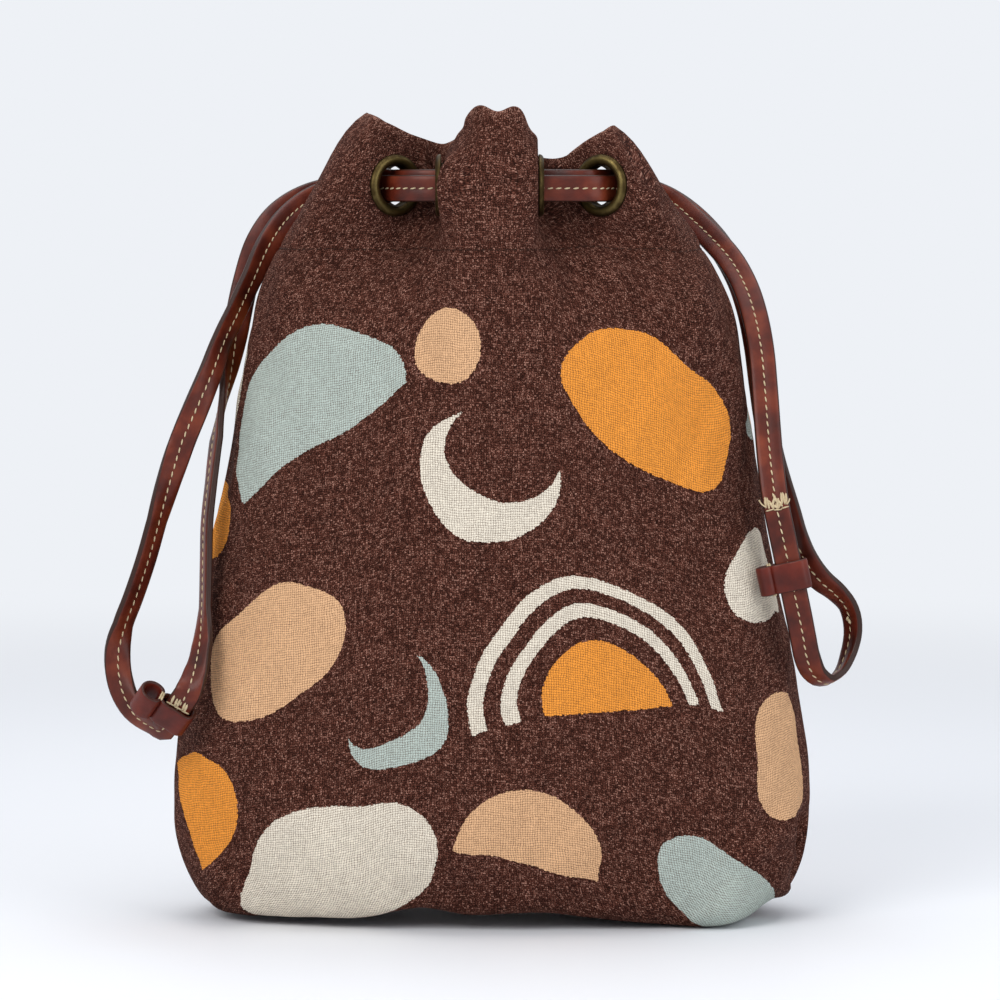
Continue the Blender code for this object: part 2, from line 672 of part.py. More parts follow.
left_keeper_leather = new_material("leather_keeper_left", (0.12, 0.025, 0.015), 0.4)
right_keeper_leather = new_material("leather_keeper_right", (0.13, 0.027, 0.016), 0.4)
make_keeper("keeper_left", LEFT_KEEPER, KEEPER_LOOP_LEFT, parts, guides, left_keeper_leather)
make_keeper("keeper_right", RIGHT_KEEPER, KEEPER_LOOP_RIGHT, parts, guides, right_keeper_leather)
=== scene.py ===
"""Drawstring shoulder bag: a printed canvas bucket bag, gathered at the mouth by
two stitched leather straps that run through eight brass eyelets and hang down in
a loop on each side.

Metres, +Z up, the front faces -Y. Lengths ending in _MM are millimetres.
"""
import json
import math

import bmesh
import bpy
import numpy as np
from mathutils import Matrix, Vector

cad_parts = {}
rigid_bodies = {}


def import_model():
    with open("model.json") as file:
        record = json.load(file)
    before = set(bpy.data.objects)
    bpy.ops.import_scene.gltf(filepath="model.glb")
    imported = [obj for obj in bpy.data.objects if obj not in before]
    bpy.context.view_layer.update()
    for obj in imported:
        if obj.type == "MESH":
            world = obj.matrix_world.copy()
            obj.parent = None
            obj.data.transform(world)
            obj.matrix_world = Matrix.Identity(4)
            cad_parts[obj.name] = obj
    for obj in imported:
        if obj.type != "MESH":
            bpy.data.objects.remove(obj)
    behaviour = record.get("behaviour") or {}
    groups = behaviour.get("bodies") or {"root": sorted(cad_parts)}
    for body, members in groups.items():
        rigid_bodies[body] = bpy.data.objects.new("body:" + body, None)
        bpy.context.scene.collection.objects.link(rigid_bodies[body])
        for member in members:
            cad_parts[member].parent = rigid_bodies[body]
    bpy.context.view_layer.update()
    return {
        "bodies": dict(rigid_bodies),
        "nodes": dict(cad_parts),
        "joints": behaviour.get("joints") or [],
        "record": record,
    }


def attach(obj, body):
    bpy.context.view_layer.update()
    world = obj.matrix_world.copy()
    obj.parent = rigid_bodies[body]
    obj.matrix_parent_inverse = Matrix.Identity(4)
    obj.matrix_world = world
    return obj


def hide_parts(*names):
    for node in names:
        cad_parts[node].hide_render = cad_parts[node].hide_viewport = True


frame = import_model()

# Studio: a table top that runs back into a white surround, lit by three soft boxes.
# The camera stands level with the bag's upper half and looks slightly down.

MM = 0.001


def linear(code):
    """The linear colour of an sRGB hex value."""
    shares = [int(code[i:i + 2], 16) / 255 for i in (1, 3, 5)]
    return tuple(s / 12.92 if s <= 0.04045 else ((s + 0.055) / 1.055) ** 2.4 for s in shares) + (1.0,)


def put(tree, kind, inputs={}, **settings):
    """Add a node: its sockets, each a value or the socket that feeds it. Gives its outputs."""
    node = tree.nodes.new("ShaderNode" + kind)
    for name, value in settings.items():
        setattr(node, name, value)
    for key, value in inputs.items():
        if isinstance(value, bpy.types.NodeSocket):
            tree.links.new(value, node.inputs[key])
        else:
            node.inputs[key].default_value = value
    return node.outputs


def new_material(name):
    """A material with an empty tree, ready for its pattern's nodes."""
    material = bpy.data.materials.new(name)
    material.use_nodes = True
    material.node_tree.nodes.clear()
    return material, material.node_tree


def finish(tree, inputs):
    """Close a material's tree with its shader and output."""
    put(tree, "OutputMaterial", {"Surface": put(tree, "BsdfPrincipled", inputs)[0]})


def seen_rays(tree):
    """1 for rays that show a surface to the camera, straight, mirrored or through glass."""
    rays = put(tree, "LightPath")
    seen = rays["Is Camera Ray"]
    for other in ("Is Glossy Ray", "Is Transmission Ray"):
        seen = put(tree, "Math", {0: seen, 1: rays[other]}, operation="MAXIMUM")[0]
    return seen


def mesh_object(name, bm, *materials):
    """The finished piece: its object stays at the origin, its place is in its mesh."""
    mesh = bpy.data.meshes.new(name)
    bm.to_mesh(mesh)
    bm.free()
    for material in materials:
        mesh.materials.append(material)
    mesh.shade_smooth()
    item = bpy.data.objects.new(name, mesh)
    bpy.context.scene.collection.objects.link(item)
    return item


SURROUND = linear("#EEF1F6")
FLOOR_REACH = 3.0
FLOOR_FADE = (0.5, 1.3)         # the table top fades into the surround between these distances

tabletop, tree = new_material("matt_white_tabletop")
spot = put(tree, "TexCoord")["Object"]
distance = put(tree, "VectorMath", {0: spot}, operation="LENGTH")["Value"]
fade = put(tree, "MapRange", {
    "Value": distance, "From Min": FLOOR_FADE[0], "From Max": FLOOR_FADE[1],
}, interpolation_type="SMOOTHSTEP")["Result"]
matt = put(tree, "BsdfPrincipled", {
    "Base Color": linear("#EDEFF4"), "Roughness": 0.6, "Specular IOR Level": 0.15,
})[0]
share = put(tree, "Math", {0: seen_rays(tree), 1: fade}, operation="MULTIPLY")[0]
glow = put(tree, "Emission", {"Color": SURROUND, "Strength": 1.0})[0]
mixed = put(tree, "MixShader", {0: share, 1: matt, 2: glow})[0]
put(tree, "OutputMaterial", {"Surface": mixed})

bm = bmesh.new()
bmesh.ops.create_circle(bm, cap_ends=True, segments=64, radius=FLOOR_REACH)
floor = mesh_object("floor", bm, tabletop)

world = bpy.data.worlds.new("studio")
world.use_nodes = True
bpy.context.scene.world = world
tree = world.node_tree
tree.nodes.clear()
fill = put(tree, "Background", {"Color": (0.93, 0.96, 1.0, 1), "Strength": 0.5})
surround = put(tree, "Background", {"Color": SURROUND, "Strength": 1.0})
mixed = put(tree, "MixShader", {0: seen_rays(tree), 1: fill[0], 2: surround[0]})
put(tree, "OutputWorld", {"Surface": mixed[0]})

SOFT_BOXES = [  # name, place, width, height, watts, colour
    ("key_left_front", (-0.75, -1.15, 1.05), 0.9, 0.9, 13.0, (1.0, 0.985, 0.96)),
    ("fill_right_front", (1.1, -0.9, 0.65), 0.9, 1.1, 6.5, (0.97, 0.985, 1.0)),
    ("top", (0.05, 0.15, 1.45), 1.2, 0.9, 9.5, (1.0, 1.0, 1.0)),
]
for name, place, width, height, watts, colour in SOFT_BOXES:
    lamp = bpy.data.lights.new(name, "AREA")
    lamp.shape = "RECTANGLE"
    lamp.size, lamp.size_y = width, height
    lamp.energy = watts
    lamp.color = colour
    box = bpy.data.objects.new(name, lamp)
    box.location = place
    box.rotation_euler = (Vector((0, 0, 0.14)) - Vector(place)).to_track_quat("-Z", "Y").to_euler()
    bpy.context.scene.collection.objects.link(box)

CAMERA_DISTANCE = 1.6
CAMERA_RISE = math.radians(4.0)
VIEW_WIDTH = 0.36               # what the picture takes in across the bag
AIM = Vector((0.0036, 0, 0.1501))

camera_data = bpy.data.cameras.new("camera")
camera = bpy.data.objects.new("camera", camera_data)
bpy.context.scene.collection.objects.link(camera)
camera_data.sensor_width = 36
camera_data.lens = 36 * CAMERA_DISTANCE / VIEW_WIDTH
camera.location = AIM + Vector((0, -math.cos(CAMERA_RISE), math.sin(CAMERA_RISE))) * CAMERA_DISTANCE
camera.rotation_euler = (AIM - camera.location).to_track_quat("-Z", "Y").to_euler()
bpy.context.scene.camera = camera
bpy.context.scene.view_settings.view_transform = "Standard"

# Cloth: a front and a back panel of coarse plain-weave canvas, sewn together at the
# sides and under the base. The straps gather the mouth into a fold at the front, one
# at the back and a wide one on each side. The top edge is turned in and sewn down.

CLOTH_THICKNESS = 2.0 * MM
BODY_RINGS_MM = [  # height, left half-width, right half-width, half-depth, share of gather
    (0, 99, 100, 38, 0.0),
    (6, 107, 109.5, 44, 0.0),
    (28, 115.5, 117.5, 51, 0.0),
    (62, 115, 116, 54, 0.0),
    (112, 105.5, 106, 53.5, 0.0),
    (165, 94.5, 95, 51.5, 0.0),
    (205, 87.5, 91, 50, 0.08),
    (229, 83, 85.5, 49, 0.3),
    (247, 72.5, 71.5, 48, 0.85),
]
BODY_SQUARENESS = 2.3
BASE_SHARES = (0.02, 0.28, 0.55)    # rings of threads under the base, from its middle out
MOUTH_MM = np.array([  # plan of a quarter of the mouth, from the front fold to the side fold
    (0, 48), (11.5, 48), (17, 42.5), (17, 30), (15, 8), (39.8, 26.414), (55, 37.7), (62.5, 19), (63.5, 0),
])
FLANK = 2                       # the plan's point where the front fold's flank begins
QUARTER_RING = len(MOUTH_MM) - 1
HALF_RING = 2 * QUARTER_RING
WHOLE_RING = 2 * HALF_RING
RIM_LEAN_MM = np.array([
    (0, -5), (0, -5), (-2.75, -5), (0, 0), (0, 0), (-6.83, -5.07), (-13.66, -10.14), (-17, -6.65), (-17, 0),
])
RIM_RIGHT_MM = np.array([291, 289, 284, 279, 272.5, 278.5, 283, 285, 285.5])
RIM_LEFT_MM = np.array([292, 292, 288, 282, 275.5, 283, 288, 290.5, 291])
EYELET_HEIGHT_MM = 263
RIM_STEPS = ((0.0, 0.0), (0.55, 0.433), (1.0, 1.0))     # share of the rise and of the lean


def travelled_along(points):
    """Length of the line up to each of its points."""
    return np.concatenate([[0], np.cumsum(np.linalg.norm(np.diff(points, axis=0), axis=1))])


def shares_along(points):
    """Share of the line's length at each of its points."""
    travelled = travelled_along(points)
    return travelled / travelled[-1]


def place_at(distance, travelled, points):
    """The place on the line at a distance from its start."""
    return np.array([np.interp(distance, travelled, points[:, axis]) for axis in range(3)])


def body_quarter(half_width, half_depth, gather):
    """A quarter of the body's squared oval, drawn towards the mouth's plan by gather."""
    turn = np.linspace(0, np.pi / 2, 200)
    power = 2 / BODY_SQUARENESS
    oval = np.stack([half_width * np.sin(turn) ** power, half_depth * np.cos(turn) ** power], axis=1)
    wanted, had = shares_along(MOUTH_MM), shares_along(oval)
    body = np.stack([np.interp(wanted, had, oval[:, axis]) for axis in (0, 1)], axis=1)
    front_half, tip = MOUTH_MM[FLANK, 0], MOUTH_MM[-1, 0]
    mouth = MOUTH_MM.copy()
    side = mouth[:, 0] > front_half
    out = mouth[side, 0] - front_half
    mouth[side, 0] = front_half + out * (half_width - front_half) / (tip - front_half)
    return body * (1 - gather) + mouth * gather


def whole_ring(right, left, right_heights, left_heights):
    """The points of a ring from the front middle, by way of the right-hand side."""
    quarter = np.column_stack([right, right_heights]), np.column_stack([left, left_heights])
    right_front = quarter[0] * (1, -1, 1)
    right_back = quarter[0] * (1, 1, 1)
    left_back = quarter[1] * (-1, 1, 1)
    left_front = quarter[1] * (-1, -1, 1)
    return np.concatenate([right_front[:-1], right_back[:0:-1], left_back[:-1], left_front[:0:-1]])


cage = []
for height, left_half, right_half, half_depth, gather in BODY_RINGS_MM:
    level = np.full(len(MOUTH_MM), height)
    right = body_quarter(right_half, half_depth, gather)
    left = body_quarter(left_half, half_depth, gather)
    cage.append(whole_ring(right, left, level, level))
for rise, lean in RIM_STEPS:
    plan = MOUTH_MM + RIM_LEAN_MM * lean
    heights = [EYELET_HEIGHT_MM + (rim - EYELET_HEIGHT_MM) * rise for rim in (RIM_RIGHT_MM, RIM_LEFT_MM)]
    cage.append(whole_ring(plan, plan, *heights))
cage = [cage[0] * (s, s, 0) for s in BASE_SHARES] + cage
cage = np.array(cage) * MM
BOTTOM_ROW = len(BASE_SHARES)


def soft(values, at):
    """Smooth values between the rows of a table, as a subdivision surface has them."""
    last = len(values) - 1
    padded = np.concatenate([[2 * values[0] - values[1]], values, [2 * values[-1] - values[-2]]])
    low = np.clip(np.floor(at).astype(int), 0, last - 1)
    t = at - low
    weights = [(1 - t) ** 3, 3 * t**3 - 6 * t**2 + 4, -3 * t**3 + 3 * t**2 + 3 * t + 1, t**3]
    flat = (1,) * (values.ndim - 1)
    return sum(w.reshape(w.shape + flat) * padded[low + k] for k, w in enumerate(weights)) / 6


QUARTER = np.linalg.norm(np.diff(MOUTH_MM, axis=0), axis=1).sum() * MM
PANEL_COLUMNS = 208
BASE_ROWS = 14
WALL_ROWS = 176
SAMPLES_ACROSS = 1601
SAMPLES_UP = 1201
WALL_LEAD = 0.35                # the wall begins this share of a ring before the lowest ring

quarter_threads = shares_along(MOUTH_MM) * QUARTER
panel_threads = np.concatenate([-quarter_threads[:0:-1], quarter_threads])
threads_at = np.linspace(-QUARTER, QUARTER, PANEL_COLUMNS + 1)
dense = np.linspace(0, HALF_RING, SAMPLES_ACROSS)
column_at = np.interp(threads_at, soft(panel_threads, dense), dense)
dense = np.linspace(BOTTOM_ROW - WALL_LEAD, len(cage) - 1, SAMPLES_UP)
profile = soft(cage, dense)[:, QUARTER_RING // 2::QUARTER_RING]
run = np.linalg.norm(np.diff(profile, axis=0), axis=2).mean(axis=1)
lengths = np.concatenate([[0], np.cumsum(run)])
PANEL_HEIGHT = lengths[-1]
wall_at = np.interp(np.linspace(0, PANEL_HEIGHT, WALL_ROWS + 1), lengths, dense)
row_at = np.concatenate([np.linspace(0, wall_at[0], BASE_ROWS + 1)[:-1], wall_at])

EYELET_PLACES_MM = [  # x, y, and the way that the eyelet looks out
    (-33.5, 21.736, 0.596, 0.803), (-33.5, -21.736, 0.596, -0.803), (-17, -30, -1, 0), (17, -30, 1, 0),
    (39.5, -26.191, -0.596, -0.803), (39.5, 26.191, -0.596, 0.803), (17, 30, 1, 0), (-17, 30, -1, 0),
]
PRESSED_OUTSIDE = 0.95 * MM     # face of the pressed cloth, outward from the middle of its wall
PRESSED_RADIUS = 12.8 * MM
PRESS_FADE = 7.0 * MM
PRESS_REACH = 9.0 * MM          # cloth further than this from the eyelet's plane isn't pressed
HOLE_RADIUS = 8.6 * MM

eyelet_frames = []
for x, y, look_x, look_y in EYELET_PLACES_MM:
    outward = Vector((look_x, look_y, 0)).normalized()
    wall_middle = Vector((x, y, EYELET_HEIGHT_MM)) * MM - outward * CLOTH_THICKNESS / 2
    turn = outward.to_track_quat("Z", "Y").to_matrix().to_4x4()
    eyelet_frames.append(Matrix.Translation(wall_middle) @ turn)

# Folds in the hanging cloth as seen from the front or the back: from x, z to x, z,
# how wide and how high, all in millimetres; a negative height is a hollow
FRONT_FOLDS_MM = [
    (24, 246, 78, 214, 6.5, 3.6),
    (30, 254, 84, 232, 6.0, -3.0),
    (15, 248, 10, 176, 7.0, -1.3),
    (-16, 246, -26, 178, 6.5, -2.4),
    (-24, 240, -58, 190, 8.0, 2.2),
    (-44, 252, -82, 214, 6.0, -1.2),
    (-2, 232, -6, 130, 15.0, 0.9),
    (-70, 180, -92, 96, 14.0, -1.1),
    (58, 188, 84, 84, 16.0, -1.2),
    (86, 140, 98, 70, 9.0, 1.0),
    (-96, 60, -40, 22, 12.0, 0.8),
    (-60, 8, 30, 14, 9.0, -1.2),
    (82, 22, 113, 38, 5.0, 3.0),
    (100, 24, 106, 4, 4.5, 1.8),
]
# Tucks pushed in beside the front's right seam
TUCKS_MM = [(112.5, 40, 113.5, 19, 2.4, -8.5), (112, 22, 109, 8, 2.4, -3.0)]
BACK_FOLDS_MM = [
    (-20, 246, -52, 200, 7.0, 1.7),
    (-30, 252, -70, 224, 6.0, -1.6),
    (18, 246, 26, 180, 7.0, -1.5),
    (28, 240, 66, 196, 8.0, 1.5),
    (0, 230, 4, 120, 16.0, 0.9),
    (70, 170, 90, 90, 15.0, -1.1),
    (-60, 180, -84, 80, 15.0, -1.0),
    (50, 10, -30, 12, 9.0, -1.2),
    (-108, 26, -112, 10, 4.0, -3.4),
    (104, 24, 110, 8, 4.5, -2.2),
]
# Where the cloth is pulled aside: x, y, z, how far round it, and the pull along x, y, z
PULLS_MM = [
    (-15, -42, 292, 13, (7.0, 0.5, -0.6)),
    (-16, -44, 281, 8, (5.6, 0, 0)),
    (-17, -32, 283, 7.5, (4.5, 0, 0)),
    (-16, -20, 281, 7.5, (3.0, 0, 0)),
    (3, -43, 292, 4, (0, 0, -2.4)),
    (12, -43, 291, 7, (0, 0, 2.4)),
    (-17.5, -46.5, 253, 6, (-1.9, 0, 0)),
    (-17.5, -46.5, 263, 6, (-1.9, 0, 0)),
    (-17.5, -46.5, 273, 6, (-1.9, 0, 0)),
    (-15, 42, 292, 15, (10.0, 0, -4.5)),
    (-16, 44, 280, 9, (5.8, 0, -1.6)),
    (-17, 32, 283, 7.5, (4.5, 0, -1.0)),
    (-16, 20, 281, 7.5, (3.0, 0, 0)),
    (12, 42, 291, 9, (-2.0, 0, -4.5)),
    (-46.5, 0, 291, 13, (2.6, 0, 0.4)),
    (46.5, 0, 285.5, 12, (-1.6, 0, 1.0)),
    (25, -17, 276, 9, (0, 0, -3.2)),
    (25, 17, 276, 9, (0, 0, -3.6)),
    (84, -28, 3, 18, (3.0, -9.0, -1.0)),
    (-56, 0, 268, 20, (1.2, 0, 0)),
    (58, 0, 266, 20, (-1.8, 0, 0)),
]
# The rim's two side tips are rounded over: x, z and how far each is pressed down
SIDE_TIPS_MM = [(-43.9, 291.4, -1.7), (44.9, 286.5, -1.6)]
SIDE_TIP_REACH_MM = 5.5
PULLS_MM += [
    (x, y, z, SIDE_TIP_REACH_MM, (0, 0, drop))
    for x, z, drop in SIDE_TIPS_MM for y in (-13, -6.5, 0, 6.5, 13)
]
# Where the base's front edge lifts off the table: at x, how wide, how high
BOTTOM_LIFTS_MM = [(-62, 27, 2.4), (-26, 15, 6.0), (14, 30, 5.6), (-104, 8, 0.7), (100, 9, 5.2)]
BOTTOM_LIFT_FADE = 11 * MM
RUBBED_EDGE = 3.0 * MM          # the rim is worn pale this far down
FOOT_FADE = 20 * MM             # folds, seams and ripples grow from nothing over these lengths
SEAM_FADE = 8 * MM
TUCK_FADE = 3 * MM
TABLE_GAP = 0.5 * MM
SEAM_GAP = 0.3 * MM             # between the two panels' edges
SEAM_WIDTH = 2.4 * MM
SEAM_DEPTH = 1.1 * MM
HEM_DROP = 38.5 * MM            # the turned-in top edge is sewn down this far below the rim
HEM_WIDTH = 1.6 * MM
HEM_DEPTH = 0.45 * MM
RIPPLES = [  # wavelength across and up in metres, phase, height
    (0.061, 0.085, 0.4, 0.5), (-0.043, 0.052, 2.1, 0.4), (0.027, 0.041, 4.4, 0.28),
    (-0.019, 0.022, 1.3, 0.16), (0.013, -0.017, 5.2, 0.09),
]


def gentle(x):
    x = np.clip(x, 0, 1)
    return x * x * (3 - 2 * x)


def fold_heights(x, z, folds_mm):
    """How far the folds push each point outward, in metres."""
    total = np.zeros_like(x)
    for x0, z0, x1, z1, width, height in folds_mm:
        along = np.array((x1 - x0, z1 - z0)) * MM
        reach = np.linalg.norm(along)
        t = ((x - x0 * MM) * along[0] + (z - z0 * MM) * along[1]) / reach**2
        nearest = np.clip(t, 0, 1)
        away = np.hypot(x - x0 * MM - nearest * along[0], z - z0 * MM - nearest * along[1])
        ends = gentle(nearest / 0.3) * gentle((1 - nearest) / 0.45) * 0.9 + 0.1
        total += height * MM * np.exp(-(away / (width * MM)) ** 2) * ends
    return total


def hang_panel(side):
    """The panel's points, by row from the base's middle to the rim."""
    centre = 0 if side < 0 else HALF_RING
    columns = np.arange(-QUARTER_RING - 1, QUARTER_RING + 2) + centre
    rows = soft(cage[:, columns % WHOLE_RING], row_at)
    place = np.swapaxes(soft(np.swapaxes(rows, 0, 1)[1:-1], column_at), 0, 1)
    # the seams keep the surface's own side points, so that the two panels meet
    seams = [(centre - QUARTER_RING) % WHOLE_RING, (centre + QUARTER_RING) % WHOLE_RING]
    seam = soft(cage[:, seams], row_at)
    place[:, 0], place[:, -1] = seam[:, 0], seam[:, 1]
    return place


def normals_of(place):
    across = np.gradient(place, axis=1)
    up = np.gradient(place, axis=0)
    normal = np.cross(across, up)
    size = np.linalg.norm(normal, axis=2, keepdims=True)
    normal = normal / np.maximum(size, 1e-12)
    normal[0] = (0, 0, -1)
    return normal


def dress_panel(side):
    """Hang the panel, then give it its folds, its seams and the flats under its eyelets."""
    place = hang_panel(side)
    normal = normals_of(place)
    threads = threads_at[None, :] * np.ones((len(row_at), 1))
    below = np.full(BASE_ROWS, -1.0)
    height = np.concatenate([below, np.linspace(0, PANEL_HEIGHT, WALL_ROWS + 1)])[:, None]
    height = height * np.ones((1, PANEL_COLUMNS + 1))
    wall = gentle(height / FOOT_FADE)
    x, z = place[..., 0], place[..., 2]
    push = fold_heights(x, z, FRONT_FOLDS_MM if side < 0 else BACK_FOLDS_MM) * wall
    for across, up, phase, size in RIPPLES:
        wave = np.sin(2 * np.pi * (threads / across + height / up) + phase + side)
        push += wave * size * MM * wall
    edge = np.abs(np.abs(threads) - QUARTER)
    push *= gentle(edge / SEAM_FADE)
    if side < 0:
        push += fold_heights(x, z, TUCKS_MM) * gentle(edge / TUCK_FADE)
    push -= SEAM_DEPTH * np.exp(-(edge / SEAM_WIDTH) ** 2) * wall
    push -= HEM_DEPTH * np.exp(-((height - PANEL_HEIGHT + HEM_DROP) / HEM_WIDTH) ** 2)
    place = place + normal * push[..., None]
    drop = np.exp(-np.maximum(place[..., 2], 0) / BOTTOM_LIFT_FADE)
    for x, width, rise in BOTTOM_LIFTS_MM:
        place[..., 2] += rise * MM * np.exp(-((place[..., 0] - x * MM) / (width * MM)) ** 2) * drop
    for eyelet in eyelet_frames:
        if eyelet.translation.y * side < 0:
            continue
        centre = np.array(eyelet.translation)
        outward = np.array(eyelet.col[2][:3])
        out = (place - centre) @ outward
        radial = np.linalg.norm(place - centre - out[..., None] * outward, axis=2)
        pressed = (1 - gentle((radial - PRESSED_RADIUS) / PRESS_FADE)) * (np.abs(out) < PRESS_REACH)
        place = place + outward * ((PRESSED_OUTSIDE - out) * pressed)[..., None]
    for x, y, z, reach, pull in PULLS_MM:
        away = np.linalg.norm(place - np.array((x, y, z)) * MM, axis=2)
        place = place + np.exp(-(away / (reach * MM)) ** 2)[..., None] * np.array(pull) * MM
    place[:, 0, 1] = place[:, -1, 1] = SEAM_GAP / 2 * side
    place[..., 2] = np.maximum(place[..., 2], TABLE_GAP)
    return place


EVEN_ROWS = 20                  # the threads' spacing evens out over this many rows


def cloth_lengths(place):
    """Real lengths across from the panel's middle and up from the foot of its wall."""
    steps_across = np.linalg.norm(np.diff(place, axis=1), axis=2)
    steps_up = np.linalg.norm(np.diff(place, axis=0), axis=2)
    across = np.pad(np.cumsum(steps_across, axis=1), ((0, 0), (1, 0)))
    across -= across[:, [PANEL_COLUMNS // 2]]
    beyond = np.pad(across, ((EVEN_ROWS, EVEN_ROWS), (0, 0)), mode="edge")
    across = np.mean([beyond[k:k + len(across)] for k in range(2 * EVEN_ROWS + 1)], axis=0)
    up = np.pad(np.cumsum(steps_up, axis=0), ((1, 0), (0, 0)))
    return across, up - up[BASE_ROWS]


def flat_cut(columns, rows):
    """A flat piece cut to a grid, with each vertex's column and row."""
    bm = bmesh.new()
    bmesh.ops.create_grid(bm, x_segments=columns, y_segments=rows, size=0.5)
    bm.verts.ensure_lookup_table()
    spots = [
        (round((v.co.x + 0.5) * columns), round((v.co.y + 0.5) * rows)) for v in bm.verts
    ]
    return bm, spots


BASE_PRINT_DROP = 60 * MM       # the print runs on under the base from this far down
CUT_REACH = 4 * MM              # an eyelet's hole is cut in cloth this near to its plane
CUT_EDGE = 2 * MM               # the cut edge is drawn in from up to this far outside the hole
TURNED_EDGE = 0.8 * MM


def make_panel(name, side, outside, inside):
    place = dress_panel(side)
    across, up = cloth_lengths(place)
    bm, spots = flat_cut(PANEL_COLUMNS, len(row_at) - 1)
    uv = bm.loops.layers.uv.new("cloth")
    for face in bm.faces:
        face.smooth = True
        in_base = min(spots[v.index][1] for v in face.verts) < BASE_ROWS
        for loop in face.loops:
            column, row = spots[loop.vert.index]
            if in_base:
                x, y, _ = place[row, column]
                loop[uv].uv = (x * -side, y * -side - BASE_PRINT_DROP)
            else:
                loop[uv].uv = (across[row, column], up[row, column])
    rubbed = bm.verts.layers.float.new("rubbed")
    for vert in bm.verts:
        column, row = spots[vert.index]
        vert.co = place[row, column]
        vert[rubbed] = max(0.0, 1 - (up[-1, column] - up[row, column]) / RUBBED_EDGE)
    bmesh.ops.remove_doubles(bm, verts=bm.verts, dist=0.01 * MM)
    for eyelet in eyelet_frames:
        if eyelet.translation.y * side < 0:
            continue
        into = eyelet.inverted()
        gone = []
        for face in bm.faces:
            centre = into @ face.calc_center_median()
            if abs(centre.z) < CUT_REACH and math.hypot(centre.x, centre.y) < HOLE_RADIUS:
                gone.append(face)
        bmesh.ops.delete(bm, geom=gone, context="FACES")
        for vert in bm.verts:
            spot = into @ vert.co
            radial = math.hypot(spot.x, spot.y)
            if vert.is_boundary and abs(spot.z) < CUT_REACH and radial < HOLE_RADIUS + CUT_EDGE:
                spot.x, spot.y = spot.x * HOLE_RADIUS / radial, spot.y * HOLE_RADIUS / radial
                vert.co = eyelet @ spot
    panel = mesh_object(name, bm, outside, inside)
    wall = panel.modifiers.new("two layers of canvas", "SOLIDIFY")
    wall.thickness = CLOTH_THICKNESS
    wall.offset = -1
    wall.material_offset = 1
    wall.material_offset_rim = 0
    edge = panel.modifiers.new("turned edge", "BEVEL")
    edge.width = TURNED_EDGE
    edge.segments = 3
    edge.limit_method = "ANGLE"
    edge.angle_limit = math.radians(60)
    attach(panel, "root")
    return panel, place


# Printed canvas: thick brown-dyed cotton yarns in a plain weave, printed by screen.
# The ground is heathered, each yarn a little lighter or darker, with painted shade in the
# gaps at the crossings, and the print's edges run a little ragged over the yarns.

YARN = 0.85 * MM
GROUND = ("#220F0B", "#41231B", "#62392E", "#A87F70")
ORANGE, PEACH, CREAM, BLUE = "#F39C40", "#E6B78C", "#EDE3D1", "#B9C5BD"
# Motifs on the flat cloth: kind, middle across and up, turn in degrees, sizes, colour.
# disc: radius. half: radius, cut. crescent: radius, bite's shift and radius.
# arch: radius, half thickness. pebble: half width, half height, power
MOTIFS = [
    ("half", -62, 196, 205, (37, 8), BLUE),
    ("disc", -12, 216, 0, (13,), PEACH),
    ("pebble", 62, 206, -20, (33, 24, 2.2), ORANGE),
    ("crescent", 4, 172, 60, (24, 11, 20), CREAM),
    ("arch", 44, 92, 14, (44, 2.4), CREAM),
    ("arch", 44, 92, 14, (34, 2.4), CREAM),
    ("half", 44, 92, 194, (24, 0), ORANGE),
    ("pebble", -76, 118, 24, (29, 22, 2.2), PEACH),
    ("crescent", -29, 88, 130, (19, 9, 17), BLUE),
    ("pebble", -48, 36, -10, (34, 23, 2.4), CREAM),
    ("half", 16, 36, 170, (25, 2), PEACH),
    ("disc", 80, 34, 0, (20,), BLUE),
    ("disc", 108, 150, 0, (17,), CREAM),
    ("pebble", 114, 84, 8, (15, 22, 2.3), PEACH),
    ("half", -110, 62, 120, (22, 3), ORANGE),
    ("disc", -113, 168, 0, (13,), ORANGE),
    ("arch", -122, 222, -80, (20, 2.2), CREAM),
    ("half", 122, 226, 60, (24, 2), BLUE),
    ("disc", -120, 14, 0, (14,), BLUE),
]


